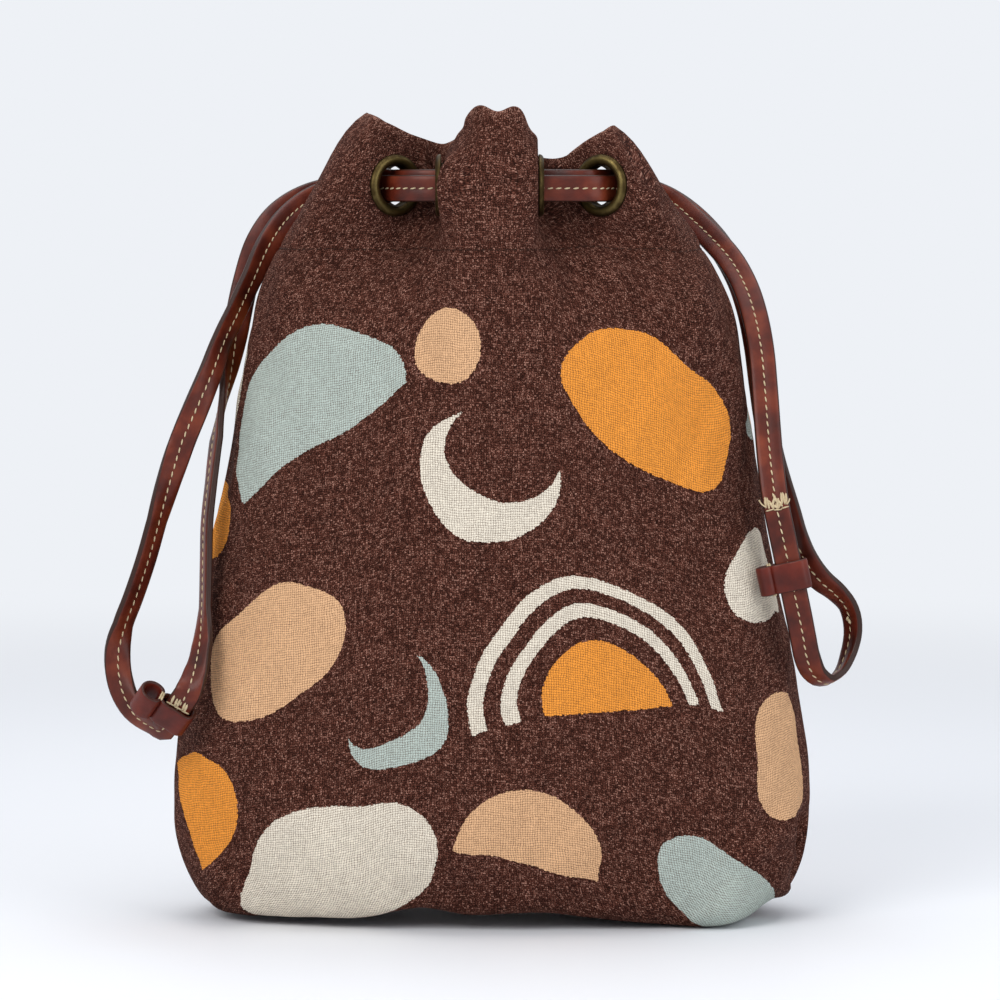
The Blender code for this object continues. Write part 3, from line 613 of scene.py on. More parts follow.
def weave_nodes(tree):
    """Yarns from the cloth's own map: height, painted shade for the gaps, tint, fibres, and the place in
    millimetres.
    """
    cloth = put(tree, "UVMap", uv_map="cloth")["UV"]
    wander = put(tree, "TexNoise", {
        "Vector": cloth, "Scale": 210.0, "Detail": 1.0,
    }, noise_dimensions="2D")["Color"]
    yarns = put(tree, "VectorMath", {
        0: cloth, 1: (1 / YARN, 1 / YARN, 0), 2: (4000, 4000, 0),
    }, operation="MULTIPLY_ADD")[0]
    yarns = put(tree, "VectorMath", {0: wander, 1: (1.1, 1.1, 0), 2: yarns}, operation="MULTIPLY_ADD")[0]
    cells = put(tree, "VectorMath", {0: yarns}, operation="FLOOR")[0]
    within = put(tree, "VectorMath", {0: yarns}, operation="FRACTION")[0]
    cell = put(tree, "SeparateXYZ", {0: cells})
    spot = put(tree, "SeparateXYZ", {0: within})
    total = put(tree, "Math", {0: cell[0], 1: cell[1]}, operation="ADD")[0]
    weft_up = put(tree, "Math", {0: total, 1: 2.0}, operation="MODULO")[0]
    rounds = []
    for axis in (0, 1):
        turn = put(tree, "Math", {0: spot[axis], 1: math.pi}, operation="MULTIPLY")[0]
        rounds.append(put(tree, "Math", {0: turn}, operation="SINE")[0])
    heights = []
    for over, along in ((0, 1), (1, 0)):
        rise = put(tree, "Math", {0: rounds[along], 1: 0.5, 2: 0.5}, operation="MULTIPLY_ADD")
        heights.append(put(tree, "Math", {0: rounds[over], 1: rise[0]}, operation="MULTIPLY")[0])
    height = put(tree, "Mix", {0: weft_up, 2: heights[0], 3: heights[1]}, data_type="FLOAT")[0]
    chance = put(tree, "TexWhiteNoise", {"Vector": cells}, noise_dimensions="2D")
    open_to = put(tree, "Math", {0: chance["Value"], 1: 0.45, 2: 0.35}, operation="MULTIPLY_ADD")[0]
    # painted shade: the share of darkening where the yarns dip down at the crossings
    gap_shade = put(tree, "MapRange", {
        "Value": height, "From Min": 0.02, "From Max": open_to, "To Min": 1.0, "To Max": 0.0,
    }, interpolation_type="SMOOTHSTEP")[0]
    slub = put(tree, "SeparateColor", {0: chance["Color"]})[1]
    fibres = put(tree, "TexNoise", {
        "Vector": cloth, "Scale": 2300.0, "Detail": 2.0,
    }, noise_dimensions="2D")["Fac"]
    specks = put(tree, "MapRange", {"Value": fibres, "From Min": 0.3, "From Max": 0.7})[0]
    tint = put(tree, "Mix", {0: 0.62, 2: slub, 3: specks}, data_type="FLOAT")[0]
    ragged = put(tree, "VectorMath", {
        0: chance["Color"], 1: (0.5, 0.5, 0), 2: (-0.25, -0.25, 0),
    }, operation="MULTIPLY_ADD")[0]
    spot = put(tree, "VectorMath", {
        0: cloth, 1: (1 / MM, 1 / MM, 0), 2: ragged,
    }, operation="MULTIPLY_ADD")[0]
    return cloth, height, gap_shade, tint, fibres, spot


def heathered(tree, cloth, tint, gap_shade):
    """The brown ground's colour, yarn by yarn, mottled, rubbed pale along the rim, with painted shade in
    the gaps.
    """
    rubbed = put(tree, "Attribute", attribute_name="rubbed")["Fac"]
    pale = put(tree, "Math", {0: rubbed, 1: 0.16, 2: tint}, operation="MULTIPLY_ADD")[0]
    ramp = put(tree, "ValToRGB", {0: pale})
    stops = ramp[0].node.color_ramp.elements
    stops[0].position, stops[0].color = 0.15, linear(GROUND[0])
    stops[1].position, stops[1].color = 0.92, linear(GROUND[3])
    stops.new(0.4).color = linear(GROUND[1])
    stops.new(0.65).color = linear(GROUND[2])
    mottle = put(tree, "TexNoise", {
        "Vector": cloth, "Scale": 190.0, "Detail": 3.0,
    }, noise_dimensions="2D")["Fac"]
    mottle = put(tree, "Math", {0: mottle, 1: 0.7, 2: 0.65}, operation="MULTIPLY_ADD")[0]
    colour = put(tree, "Mix", {0: 1.0, 6: ramp[0], 7: mottle}, data_type="RGBA", blend_type="MULTIPLY")[2]
    # painted shade: the gaps between the yarns are darkened towards a deep brown
    shaded = put(tree, "Math", {0: gap_shade, 1: 0.9}, operation="MULTIPLY")[0]
    return put(tree, "Mix", {0: shaded, 6: colour, 7: linear("#1E0E09")}, data_type="RGBA")[2]


def motif_distance(tree, spot, kind, x, y, turn, sizes):
    """Signed distance to a motif's edge in millimetres, negative inside."""
    local = put(tree, "Mapping", {
        "Vector": spot, "Location": (x, y, 0), "Rotation": (0, 0, math.radians(turn)),
    }, vector_type="TEXTURE")[0]
    parts = put(tree, "SeparateXYZ", {0: local})
    radius = put(tree, "VectorMath", {0: local}, operation="LENGTH")["Value"]
    round_edge = put(tree, "Math", {0: radius, 1: sizes[0]}, operation="SUBTRACT")[0]
    if kind == "disc":
        return round_edge
    if kind == "half":
        cut = put(tree, "Math", {0: parts[1], 1: sizes[1]}, operation="SUBTRACT")[0]
        return put(tree, "Math", {0: round_edge, 1: cut}, operation="MAXIMUM")[0]
    if kind == "arch":
        band = put(tree, "Math", {0: round_edge}, operation="ABSOLUTE")[0]
        band = put(tree, "Math", {0: band, 1: sizes[1]}, operation="SUBTRACT")[0]
        below = put(tree, "Math", {0: parts[1], 1: -1.0}, operation="MULTIPLY")[0]
        return put(tree, "Math", {0: band, 1: below}, operation="MAXIMUM")[0]
    if kind == "crescent":
        bite = put(tree, "VectorMath", {0: local, 1: (sizes[1], 0, 0)}, operation="DISTANCE")
        hollow = put(tree, "Math", {0: sizes[2], 1: bite["Value"]}, operation="SUBTRACT")
        return put(tree, "Math", {0: round_edge, 1: hollow[0]}, operation="MAXIMUM")[0]
    terms = []
    for axis in (0, 1):
        share = put(tree, "Math", {0: parts[axis], 1: sizes[axis]}, operation="DIVIDE")[0]
        share = put(tree, "Math", {0: share}, operation="ABSOLUTE")[0]
        terms.append(put(tree, "Math", {0: share, 1: sizes[2]}, operation="POWER")[0])
    total = put(tree, "Math", {0: terms[0], 1: terms[1]}, operation="ADD")[0]
    return put(tree, "Math", {0: total, 1: 1.0}, operation="SUBTRACT")[0]


def canvas(name, printed, turned_over=False):
    material, tree = new_material(name)
    cloth, height, gap_shade, tint, fibres, spot = weave_nodes(tree)
    colour = heathered(tree, cloth, tint, gap_shade)
    if printed:
        wobble = put(tree, "TexNoise", {
            "Vector": spot, "Scale": 0.03, "Detail": 0.5,
        }, noise_dimensions="2D")["Color"]
        spot = put(tree, "VectorMath", {0: wobble, 1: (7, 7, 0), 2: spot}, operation="MULTIPLY_ADD")[0]
        if turned_over:
            spot = put(tree, "VectorMath", {
                0: spot, 1: (-1, -1, 0), 2: (14, 292, 0),
            }, operation="MULTIPLY_ADD")[0]
        shade = put(tree, "Math", {0: tint, 1: 0.3, 2: 0.78}, operation="MULTIPLY_ADD")[0]
        # the print's gaps darken towards a dark brown: partly the unprinted ground between the yarns,
        # partly painted shade
        dark = put(tree, "Math", {0: gap_shade, 1: 0.8}, operation="MULTIPLY")[0]
        for kind, x, y, turn, sizes, ink in MOTIFS:
            edge = motif_distance(tree, spot, kind, x, y, turn, sizes)
            inside = put(tree, "Math", {0: edge, 1: 0.0}, operation="LESS_THAN")[0]
            inked = put(tree, "Mix", {
                0: 1.0, 6: linear(ink), 7: shade,
            }, data_type="RGBA", blend_type="MULTIPLY")[2]
            inked = put(tree, "Mix", {0: dark, 6: inked, 7: linear("#54352A")}, data_type="RGBA")[2]
            colour = put(tree, "Mix", {0: inside, 6: colour, 7: inked}, data_type="RGBA")[2]
    relief = put(tree, "Math", {0: fibres, 1: 0.4, 2: height}, operation="MULTIPLY_ADD")[0]
    bump = put(tree, "Bump", {"Height": relief, "Strength": 0.75, "Distance": 0.22 * MM})
    finish(tree, {"Base Color": colour, "Normal": bump[0], "Roughness": 0.92, "Specular IOR Level": 0.06})
    return material


canvas_front = canvas("printed_canvas_front", True)
canvas_back = canvas("printed_canvas_back", True, turned_over=True)
canvas_wrong_side = canvas("canvas_wrong_side", False)
front_panel, front_place = make_panel("front_panel", -1, canvas_front, canvas_wrong_side)
back_panel, back_place = make_panel("back_panel", 1, canvas_back, canvas_wrong_side)
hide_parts("bag_front_panel")
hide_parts("bag_back_panel")

# Eyelets: turned antique brass in two pieces, a barrel with a rolled flange on the
# outside, and a washer on the inside that the barrel's lip is spread over.

PRESSED_HALF = 0.85 * MM
GAP = 0.3 * MM
BORE_RADIUS = 7.2 * MM
BARREL_WALL = 0.8 * MM
FLANGE_RADIUS = 11.0 * MM
FLANGE_HEIGHT = 1.9 * MM
FLANGE_FOOT = 0.35 * MM         # the flange's edge stands this high before it rounds over
WASHER_RADIUS = 10.4 * MM
WASHER_THICKNESS = 0.8 * MM
LIP_RADIUS = 9.4 * MM
LIP_THICKNESS = 0.6 * MM
TURNED_STEPS = 72


def antique_brass(name, light, dark):
    """Brass darkened by patina, rubbed bright along the crown of the flange."""
    material, tree = new_material(name)
    place = put(tree, "TexCoord")["Object"]
    worn = put(tree, "Attribute", attribute_name="wear")["Fac"]
    stain = put(tree, "TexNoise", {"Vector": place, "Scale": 260.0, "Detail": 5.0})["Fac"]
    share = put(tree, "Math", {0: stain, 1: 1.1, 2: -0.5}, operation="MULTIPLY_ADD")[0]
    share = put(tree, "Math", {0: share, 1: worn}, operation="ADD", use_clamp=True)[0]
    colour = put(tree, "Mix", {0: share, 6: linear(dark), 7: linear(light)}, data_type="RGBA")
    rough = put(tree, "MapRange", {"Value": share, "To Min": 0.5, "To Max": 0.26})[0]
    scratch = put(tree, "TexNoise", {"Vector": place, "Scale": 1800.0, "Detail": 2.0})["Fac"]
    bump = put(tree, "Bump", {"Height": scratch, "Strength": 0.12, "Distance": 0.1 * MM})
    finish(tree, {"Base Color": colour[2], "Roughness": rough, "Normal": bump[0], "Metallic": 1.0})
    return material


def turned_piece(name, profile, frame, material, crown):
    """Spin a closed profile of radius and height about the eyelet's own axis."""
    bm = bmesh.new()
    corners = [bm.verts.new((radius, 0, height)) for radius, height in profile]
    ring = [bm.edges.new(pair) for pair in zip(corners, corners[1:] + corners[:1])]
    bmesh.ops.spin(
        bm, geom=corners + ring, cent=(0, 0, 0), axis=(0, 0, 1), angle=2 * math.pi,
        steps=TURNED_STEPS, use_merge=True, use_duplicate=False,
    )
    bmesh.ops.remove_doubles(bm, verts=bm.verts, dist=0.005 * MM)
    bmesh.ops.recalc_face_normals(bm, faces=bm.faces)
    worn = bm.verts.layers.float.new("wear")
    for vert in bm.verts:
        from_crown = math.hypot(math.hypot(vert.co.x, vert.co.y) - crown[0], vert.co.z - crown[1])
        vert[worn] = max(0.0, 0.55 - from_crown / (2.6 * MM))
    bmesh.ops.transform(bm, matrix=frame, verts=bm.verts)
    piece = mesh_object(name, bm, material)
    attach(piece, "root")
    return piece


brass = antique_brass("antique_brass", "#8C7B4C", "#3C301B")
washer_brass = antique_brass("antique_brass_washer", "#7D6B40", "#3A2E1A")
flange_back = PRESSED_HALF + GAP
lip_front = -PRESSED_HALF - GAP - WASHER_THICKNESS - GAP
crown_middle = (BORE_RADIUS + FLANGE_RADIUS) / 2
crown_half = (FLANGE_RADIUS - BORE_RADIUS) / 2
crown_rise = FLANGE_HEIGHT - FLANGE_FOOT
eyelet_profile = [
    (crown_middle + crown_half * math.cos(a), flange_back + FLANGE_FOOT + crown_rise * math.sin(a))
    for a in np.linspace(0, math.pi, 13)
]
eyelet_profile += [
    (BORE_RADIUS, flange_back - 0.6 * MM),
    (BORE_RADIUS, lip_front),
    (BORE_RADIUS + 0.25 * MM, lip_front - LIP_THICKNESS),
    (LIP_RADIUS - 0.7 * MM, lip_front - LIP_THICKNESS),
    (LIP_RADIUS - 0.1 * MM, lip_front - 0.4 * MM),
    (LIP_RADIUS, lip_front),
    (BORE_RADIUS + BARREL_WALL, lip_front),
    (BORE_RADIUS + BARREL_WALL, flange_back),
    (FLANGE_RADIUS - 0.1 * MM, flange_back),
]
washer_bore = BORE_RADIUS + BARREL_WALL + GAP
washer_top = -PRESSED_HALF - GAP
washer_profile = [
    (washer_bore, washer_top),
    (washer_bore, washer_top - WASHER_THICKNESS),
    (WASHER_RADIUS - 0.2 * MM, washer_top - WASHER_THICKNESS),
    (WASHER_RADIUS, washer_top - WASHER_THICKNESS + 0.2 * MM),
    (WASHER_RADIUS, washer_top),
]
for number, place in enumerate(eyelet_frames):
    crown = (crown_middle, flange_back + FLANGE_HEIGHT)
    eyelet = turned_piece(f"brass_eyelet_{number}", eyelet_profile, place, brass, crown)
    washer = turned_piece(f"brass_washer_{number}", washer_profile, place, washer_brass, (1, 1))
    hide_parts(f"eyelet_{number}")
    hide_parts(f"eyelet_washer_{number}")

# Straps: each is two layers of glazed brown leather, glued and sewn down the middle
# with cream thread, its edges dyed dark. It runs through all eight eyelets, hangs
# down beside the bag in a loop and comes back up to the eyelet where it began.

STRAP_WIDTH = 9.4 * MM
STRAP_THICKNESS = 2.6 * MM
STRAP_SPACING = 1.0 * MM
STRAP_LIFT = 1.0 * MM
STRAP_CROSSING = 5.4 * MM
EYELET_STRAIGHT = 4 * MM
ROUTE_STEP = 2.0 * MM
FRONT, BACK = Vector((0, -1, 0)), Vector((0, 1, 0))
LEFT, RIGHT = Vector((-1, 0, 0)), Vector((1, 0, 0))
FOLD_CROSSINGS = {
    0: (46.5 * MM, 7 * MM, LEFT), 2: (30 * MM, 5.5 * MM, FRONT),
    4: (47.5 * MM, 7 * MM, RIGHT), 6: (30 * MM, 5.5 * MM, BACK),
}
HUG = (-0.95, -0.35, 0)
# Free loops, from the last eyelet to the first, with the way that the strap's face looks
LEFT_LOOP_MM = [
    ((-25, 34.5, 263.5), (-0.7, 0.7, 0)), ((-28.5, 40, 263.5), (-0.7, 0.7, 0)),
    ((-34, 45.5, 263.5), (-0.3, 1, 0)), ((-44, 48, 263), BACK), ((-55, 48, 262), BACK),
    ((-66, 43, 259.5), BACK), ((-77, 33.5, 253), BACK), ((-84, 23, 243), BACK),
    ((-88.5, 14, 228), BACK), ((-91, 8, 215), BACK), ((-93, 1, 202), (-0.7, 0.7, 0)),
    ((-95.5, -6, 187), (-1, 0, 0)), ((-97.6, -13, 172.8), (-0.9, -0.4, 0)),
    ((-99.2, -17, 158), HUG), ((-100.6, -20, 143.3), HUG), ((-100.8, -23, 129), HUG),
    ((-101, -26.5, 114), HUG), ((-101.8, -31.5, 101), (-0.6, -0.75, -0.2)),
    ((-103.8, -37.5, 91.5), (-0.4, -0.85, -0.4)),
]
TURNED = (0.8, -0.6, 0)
LEFT_RISE_MM = [
    ((-120.5, -26, 72.2), (-0.25, -0.75, -0.6)), ((-126, -22.5, 75.5), (-0.25, -0.8, -0.5)),
    ((-130.2, -20.5, 82), (-0.1, -0.95, -0.3)), ((-132.5, -19, 90), (0.1, -1, -0.1)),
    ((-132.8, -18, 98), (0.35, -0.9, 0)), ((-131, -17, 106.6), TURNED), ((-127.6, -17, 115.5), TURNED),
    ((-122.6, -17, 130), TURNED), ((-118.6, -17, 144), TURNED), ((-114.2, -17, 158.5), (0.5, -0.85, 0)),
    ((-109.2, -17, 172.8), FRONT), ((-104.2, -16, 185), (0.3, -0.95, 0)),
    ((-99.6, -13, 196.5), (0.6, -0.8, 0)),
    ((-95.8, -8, 207.5), TURNED), ((-91.2, -1, 217.5), TURNED), ((-86.2, 7.5, 229), TURNED),
    ((-80.2, 17.5, 242), (0.6, -0.7, 0.3)), ((-73, 28.5, 252), (0.4, -0.8, 0.3)),
    ((-64, 37.5, 258.6), FRONT),
    ((-55, 42.5, 261.6), FRONT), ((-45.5, 42.5, 263), FRONT), ((-38.5, 39, 263.5), (-0.5, -0.8, 0)),
    ((-34.2, 33.5, 263.8), (-0.9, -0.3, 0)),
]
RIGHT_LOOP_MM = [
    ((38.8, 37, 262.3), (1, 0, 0)), ((42, 42.5, 262.3), (0.8, -0.6, 0)), ((48.5, 45.6, 262), FRONT),
    ((57, 44.8, 261), FRONT), ((66, 39.5, 257.5), FRONT), ((74, 32, 250.5), FRONT),
    ((81, 23.5, 243.5), FRONT), ((87.5, 14, 235.5), FRONT), ((92.2, 5, 226), FRONT),
    ((95, -3, 216), FRONT), ((96.8, -10, 204.5), FRONT), ((97.8, -16, 190.8), FRONT),
    ((98.6, -21, 176.8), FRONT), ((99.6, -25.5, 163.1), FRONT), ((100.4, -28.4, 155.5), FRONT),
]
AWAY = (0.6, 0.8, 0)
RIGHT_RISE_MM = [
    ((111, -29.3, 103), FRONT), ((112.6, -27.3, 96), (-0.1, -0.95, -0.3)),
    ((115.4, -24.5, 90), (-0.3, -0.75, -0.6)), ((119.8, -21, 87), (-0.1, -0.45, -0.9)),
    ((124.6, -17.6, 89.2), (0.5, -0.1, -0.85)), ((128.2, -15, 96.2), (0.85, 0.35, -0.35)),
    ((129.8, -14, 104.5), (0.85, 0.5, 0)), ((128.2, -15, 112.5), (0.7, 0.55, 0.45)),
    ((123.5, -17, 118.3), (0.4, 0.7, 0.6)), ((117.8, -19, 123), (0.3, 0.85, 0.4)),
    ((112.4, -19.7, 130), (0.3, 1, 0.1)), ((109, -18.5, 138), (0.5, 0.9, 0)), ((106.4, -16, 147.6), AWAY),
    ((103.6, -12.5, 157), AWAY), ((101.2, -9, 166), AWAY), ((99, -4.5, 178), AWAY),
    ((97.2, 0.5, 192), AWAY), ((95.6, 6, 206), AWAY), ((93.4, 12, 218), AWAY),
    ((90, 19, 229), AWAY), ((85.4, 26, 238.5), (0.4, 0.9, 0)), ((79.4, 33, 246.5), BACK),
    ((72.7, 39.5, 253), BACK), ((66, 45, 257.6), BACK), ((59, 49.4, 260.6), BACK),
    ((50, 51.5, 262), BACK), ((41, 50, 262.3), (0.2, 1, 0)), ((33.5, 45.5, 262.3), (0.6, 0.7, 0)),
    ((29, 40, 262.3), (0.8, 0.6, 0)), ((25.5, 34.8, 262.2), (0.6, 0.8, 0)),
]
# Keepers: centre, heading of the strap through it, and the side of its empty loop
LEFT_KEEPER = (
    Vector((-112, -34, 76.5)) * MM, Vector((-0.45, 0.6, -0.66)), Vector((-0.83, -0.1, 0.55)),
)
RIGHT_KEEPER = (
    Vector((106.4, -30, 125.3)) * MM, Vector((0.2055, 0, -0.9787)), Vector((-0.9787, 0, -0.2055)),
)
KEEPER_RUN_LEFT_MM = (-12, -7.5, 0, 7, 9)
KEEPER_RUN_RIGHT_MM = (-24, -12, 0, 8, 15)


def keeper_frame(centre, heading, loop_side):
    """Matrix of a keeper: X towards its empty loop, Z along the strap."""
    along = heading.normalized()
    across = (loop_side - along * loop_side.dot(along)).normalized()
    turn = Matrix((across, along.cross(across), along)).transposed().to_4x4()
    return Matrix.Translation(centre) @ turn


def free_loop(first_mm, keeper, runs_mm, second_mm):
    first = [(Vector(point) * MM, Vector(face)) for point, face in first_mm]
    place = keeper_frame(*keeper)
    looks = place.to_3x3() @ Vector((0, 1, 0))
    if looks.dot(FRONT) < 0:
        looks = -looks
    held = [(place @ Vector((0, 0, run * MM)), looks) for run in runs_mm]
    return first + held + [(Vector(point) * MM, Vector(face)) for point, face in second_mm]


def ring_points(order, side, lift):
    """The strap's points through the eyelets, outside (1) or inside (-1) of its twin."""
    points = []
    shift = (STRAP_SPACING + STRAP_THICKNESS) / 2
    rise = Vector((0, 0, STRAP_CROSSING if lift > 0 else -STRAP_CROSSING))
    for eyelet, following in zip(order, order[1:] + [None]):
        centre = eyelet_frames[eyelet].translation + Vector((0, 0, lift))
        outward = eyelet_frames[eyelet].to_3x3() @ Vector((0, 0, 1))
        heading = outward if eyelet % 2 else -outward
        outside = Vector((heading.y, -heading.x, 0))
        for run in (-EYELET_STRAIGHT, 0, EYELET_STRAIGHT):
            points.append((centre + heading * run + outside * side[eyelet] * shift, outside))
        if eyelet % 2 or following is None:
            continue
        reach, stage, out = FOLD_CROSSINGS[eyelet]
        along = Vector((-out.y, out.x, 0))
        middle = out * reach + Vector((0, 0, EYELET_HEIGHT_MM * MM))
        if side[eyelet] == side[following]:
            points.append((middle + out * side[eyelet] * shift + Vector((0, 0, lift)), out))
        else:
            points.append((middle - along * stage + out * side[eyelet] * shift + rise, out))
            points.append((middle + rise, out))
            points.append((middle + along * stage + out * side[following] * shift + rise, out))
    return points


def smooth_route(stops, step):
    """Places along a smooth closed curve through the stops, with its frame at each."""
    p = np.array([tuple(point) for point, _ in stops])
    f = np.array([tuple(face) for _, face in stops])
    chord = np.linalg.norm(np.roll(p, -1, axis=0) - p, axis=1)
    ahead = (np.roll(p, -1, axis=0) - p) / chord[:, None]
    behind, before = np.roll(ahead, 1, axis=0), np.roll(chord, 1)
    slope = (ahead * before[:, None] + behind * chord[:, None]) / (before + chord)[:, None]
    places, faces = [], []
    for i in range(len(p)):
        j = (i + 1) % len(p)
        for t in np.arange(0, 1 - 1e-9, 1 / max(1, round(chord[i] / step))):
            place = (2 * t**3 - 3 * t**2 + 1) * p[i] + (3 * t**2 - 2 * t**3) * p[j]
            places.append(place + chord[i] * ((t**3 - 2 * t**2 + t) * slope[i] + (t**3 - t**2) * slope[j]))
            faces.append((1 - t) * f[i] + t * f[j])
    places, faces = np.array(places), np.array(faces)
    heading = np.roll(places, -1, axis=0) - np.roll(places, 1, axis=0)
    across = np.cross(heading, faces)
    through = np.cross(across, heading)
    return [places] + [v / np.linalg.norm(v, axis=1, keepdims=True) for v in (heading, across, through)]


# Half of the strap's section, from the stitched channel out to the seam of its two layers
SECTION_MM = [
    (0, 1.12), (0.7, 1.2), (1.5, 1.32), (3.0, 1.34), (4.0, 1.22), (4.5, 0.95), (4.7, 0.5), (4.62, 0.1),
]


def sweep(route, half_section_mm, rub_from_mm, rub_over_mm):
    """A closed band: the section carried round the route, its edges marked for the dye."""
    places, _, across, through = route
    right_bottom = [(a, -b) for a, b in reversed(half_section_mm)]
    left_bottom = [(-a, -b) for a, b in half_section_mm[1:]]
    left_top = [(-a, b) for a, b in reversed(half_section_mm[1:])]
    section = half_section_mm + right_bottom + left_bottom + left_top
    around, along = len(section), len(places)
    bm, spots = flat_cut(around, along)
    edge = bm.verts.layers.float.new("edge")
    for vert in bm.verts:
        column, row = spots[vert.index]
        a, b = section[column % around]
        k = row % along
        vert.co = places[k] + across[k] * a * MM + through[k] * b * MM
        vert[edge] = max(0.0, min(1.0, (abs(a) - rub_from_mm) / rub_over_mm))
    bmesh.ops.remove_doubles(bm, verts=bm.verts, dist=0.005 * MM)
    bmesh.ops.recalc_face_normals(bm, faces=bm.faces)
    return bm


def make_strap(name, route, material):
    places = route[0]
    strap = mesh_object(name, sweep(route, SECTION_MM, 3.9, 0.6), material)
    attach(strap, "root")
    return strap, float(np.linalg.norm(np.roll(places, -1, axis=0) - places, axis=1).sum())


def glazed_leather(name, deep, mid, light, dyed):
    """Vegetable-tanned calf, glazed: reddish brown, mottled, creased across, edges dyed."""
    material, tree = new_material(name)
    place = put(tree, "TexCoord")["Object"]
    mottle = put(tree, "TexNoise", {"Vector": place, "Scale": 95.0, "Detail": 4.0})["Fac"]
    ramp = put(tree, "ValToRGB", {0: mottle})
    stops = ramp[0].node.color_ramp.elements
    stops[0].position, stops[0].color = 0.3, linear(deep)
    stops[1].position, stops[1].color = 0.72, linear(light)
    stops.new(0.5).color = linear(mid)
    worn = put(tree, "Attribute", attribute_name="edge")["Fac"]
    ragged = put(tree, "Math", {0: mottle, 1: 0.6, 2: -0.3}, operation="MULTIPLY_ADD")[0]
    ragged = put(tree, "Math", {0: worn, 1: ragged}, operation="ADD")[0]
    dark = put(tree, "MapRange", {
        "Value": ragged, "From Min": 0.3, "From Max": 0.8,
    }, interpolation_type="SMOOTHSTEP")[0]
    dark = put(tree, "Math", {0: dark, 1: worn}, operation="MULTIPLY")[0]
    colour = put(tree, "Mix", {0: dark, 6: ramp[0], 7: linear(dyed)}, data_type="RGBA")
    pores = put(tree, "TexVoronoi", {"Vector": place, "Scale": 1500.0}, feature="DISTANCE_TO_EDGE")
    creases = put(tree, "TexNoise", {"Vector": place, "Scale": 420.0, "Detail": 3.0})["Fac"]
    relief = put(tree, "Math", {0: creases, 1: 1.6, 2: pores["Distance"]}, operation="MULTIPLY_ADD")[0]
    bump = put(tree, "Bump", {"Height": relief, "Strength": 0.3, "Distance": 0.12 * MM})
    rough = put(tree, "MapRange", {"Value": mottle, "To Min": 0.34, "To Max": 0.52})[0]
    finish(tree, {
        "Base Color": colour[2], "Roughness": rough, "Normal": bump[0],
        "Specular IOR Level": 0.24, "Coat Weight": 0.08, "Coat Roughness": 0.2,
    })
    return material


def sewing_thread(name, light, dark):
    """Waxed linen thread: twisted strands, lighter on top, with painted shade in its grooves."""
    material, tree = new_material(name)
    place = put(tree, "TexCoord")["Object"]
    strands = put(tree, "TexNoise", {"Vector": place, "Scale": 900.0, "Detail": 3.0})["Fac"]
    # painted shade: the strands' own bump noise darkens the grooves towards the dark colour
    colour = put(tree, "Mix", {0: strands, 6: linear(dark), 7: linear(light)}, data_type="RGBA")
    bump = put(tree, "Bump", {"Height": strands, "Strength": 0.4, "Distance": 0.1 * MM})
    finish(tree, {
        "Base Color": colour[2], "Normal": bump[0], "Roughness": 0.7, "Specular IOR Level": 0.15,
    })
    return material


strap_leather = glazed_leather("glazed_strap_leather", "#38120A", "#571E10", "#77331D", "#2E160D")
# each thread's second colour is the painted shade in its grooves
cream_thread = sewing_thread("cream_linen_thread", "#DCCBA8", "#A48E6C")
brown_thread = sewing_thread("brown_cotton_thread", "#40251B", "#1E0F0A")

STITCH_PITCH = 3.0 * MM
STITCH_SIZE = (0.3 * MM, 1.15 * MM, 0.22 * MM)      # half the width, length and height of a bead
STITCH_SLANT = math.radians(9)
STITCH_FACE = 1.22 * MM         # how far the stitched channel lies from the strap's middle

bm = bmesh.new()
bmesh.ops.create_uvsphere(bm, u_segments=8, v_segments=5, radius=1)
bead = bpy.data.meshes.new("bead")
bm.to_mesh(bead)
bm.free()


def sew(bm, place, along, outward, size=STITCH_SIZE, slant=STITCH_SLANT):
    """One stitch: a short slanted bead of thread lying on the surface."""
    along, outward = Vector(along).normalized(), Vector(outward).normalized()
    sideways = along.cross(outward).normalized()
    turn = Matrix((sideways, along, sideways.cross(along))).transposed().to_4x4()
    stitch = bead.copy()
    slanted = Matrix.Translation(place) @ turn @ Matrix.Rotation(slant, 4, "Z")
    stitch.transform(slanted @ Matrix.Diagonal((*size, 1)))
    bm.from_mesh(stitch)
    bpy.data.meshes.remove(stitch)


def sew_strap(name, route, length):
    """Two rows of stitches, one down the middle of each face of the strap."""
    places, heading, _, through = route
    bm = bmesh.new()
    travelled = travelled_along(places)
    for distance in np.arange(STITCH_PITCH / 2, length - STITCH_PITCH / 2, STITCH_PITCH):
        spot = place_at(distance, travelled, places)
        k = int(np.searchsorted(travelled, distance)) % len(places)
        for face in (1, -1):
            sew(bm, spot + through[k] * face * STITCH_FACE, heading[k], through[k] * face)
    stitches = mesh_object(name, bm, cream_thread)
    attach(stitches, "root")
    return stitches


left_side = [1, -1, -1, -1, -1, -1, -1, 1]
right_side = [-side for side in left_side]
left_loop = free_loop(LEFT_LOOP_MM, LEFT_KEEPER, KEEPER_RUN_LEFT_MM, LEFT_RISE_MM)
right_loop = free_loop(RIGHT_LOOP_MM, RIGHT_KEEPER, KEEPER_RUN_RIGHT_MM, RIGHT_RISE_MM)
left_ring = ring_points([0, 1, 2, 3, 4, 5, 6, 7], left_side, STRAP_LIFT)
right_ring = ring_points([6, 7, 0, 1, 2, 3, 4, 5], right_side, -STRAP_LIFT)
left_route = smooth_route(left_loop + left_ring, ROUTE_STEP)
right_route = smooth_route(right_loop + right_ring, ROUTE_STEP)
left_strap, left_length = make_strap("left_strap", left_route, strap_leather)
right_strap, right_length = make_strap("right_strap", right_route, strap_leather)
left_stitches = sew_strap("left_strap_stitches", left_route, left_length)
right_stitches = sew_strap("right_strap_stitches", right_route, right_length)
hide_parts("strap_left")
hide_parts("strap_right")


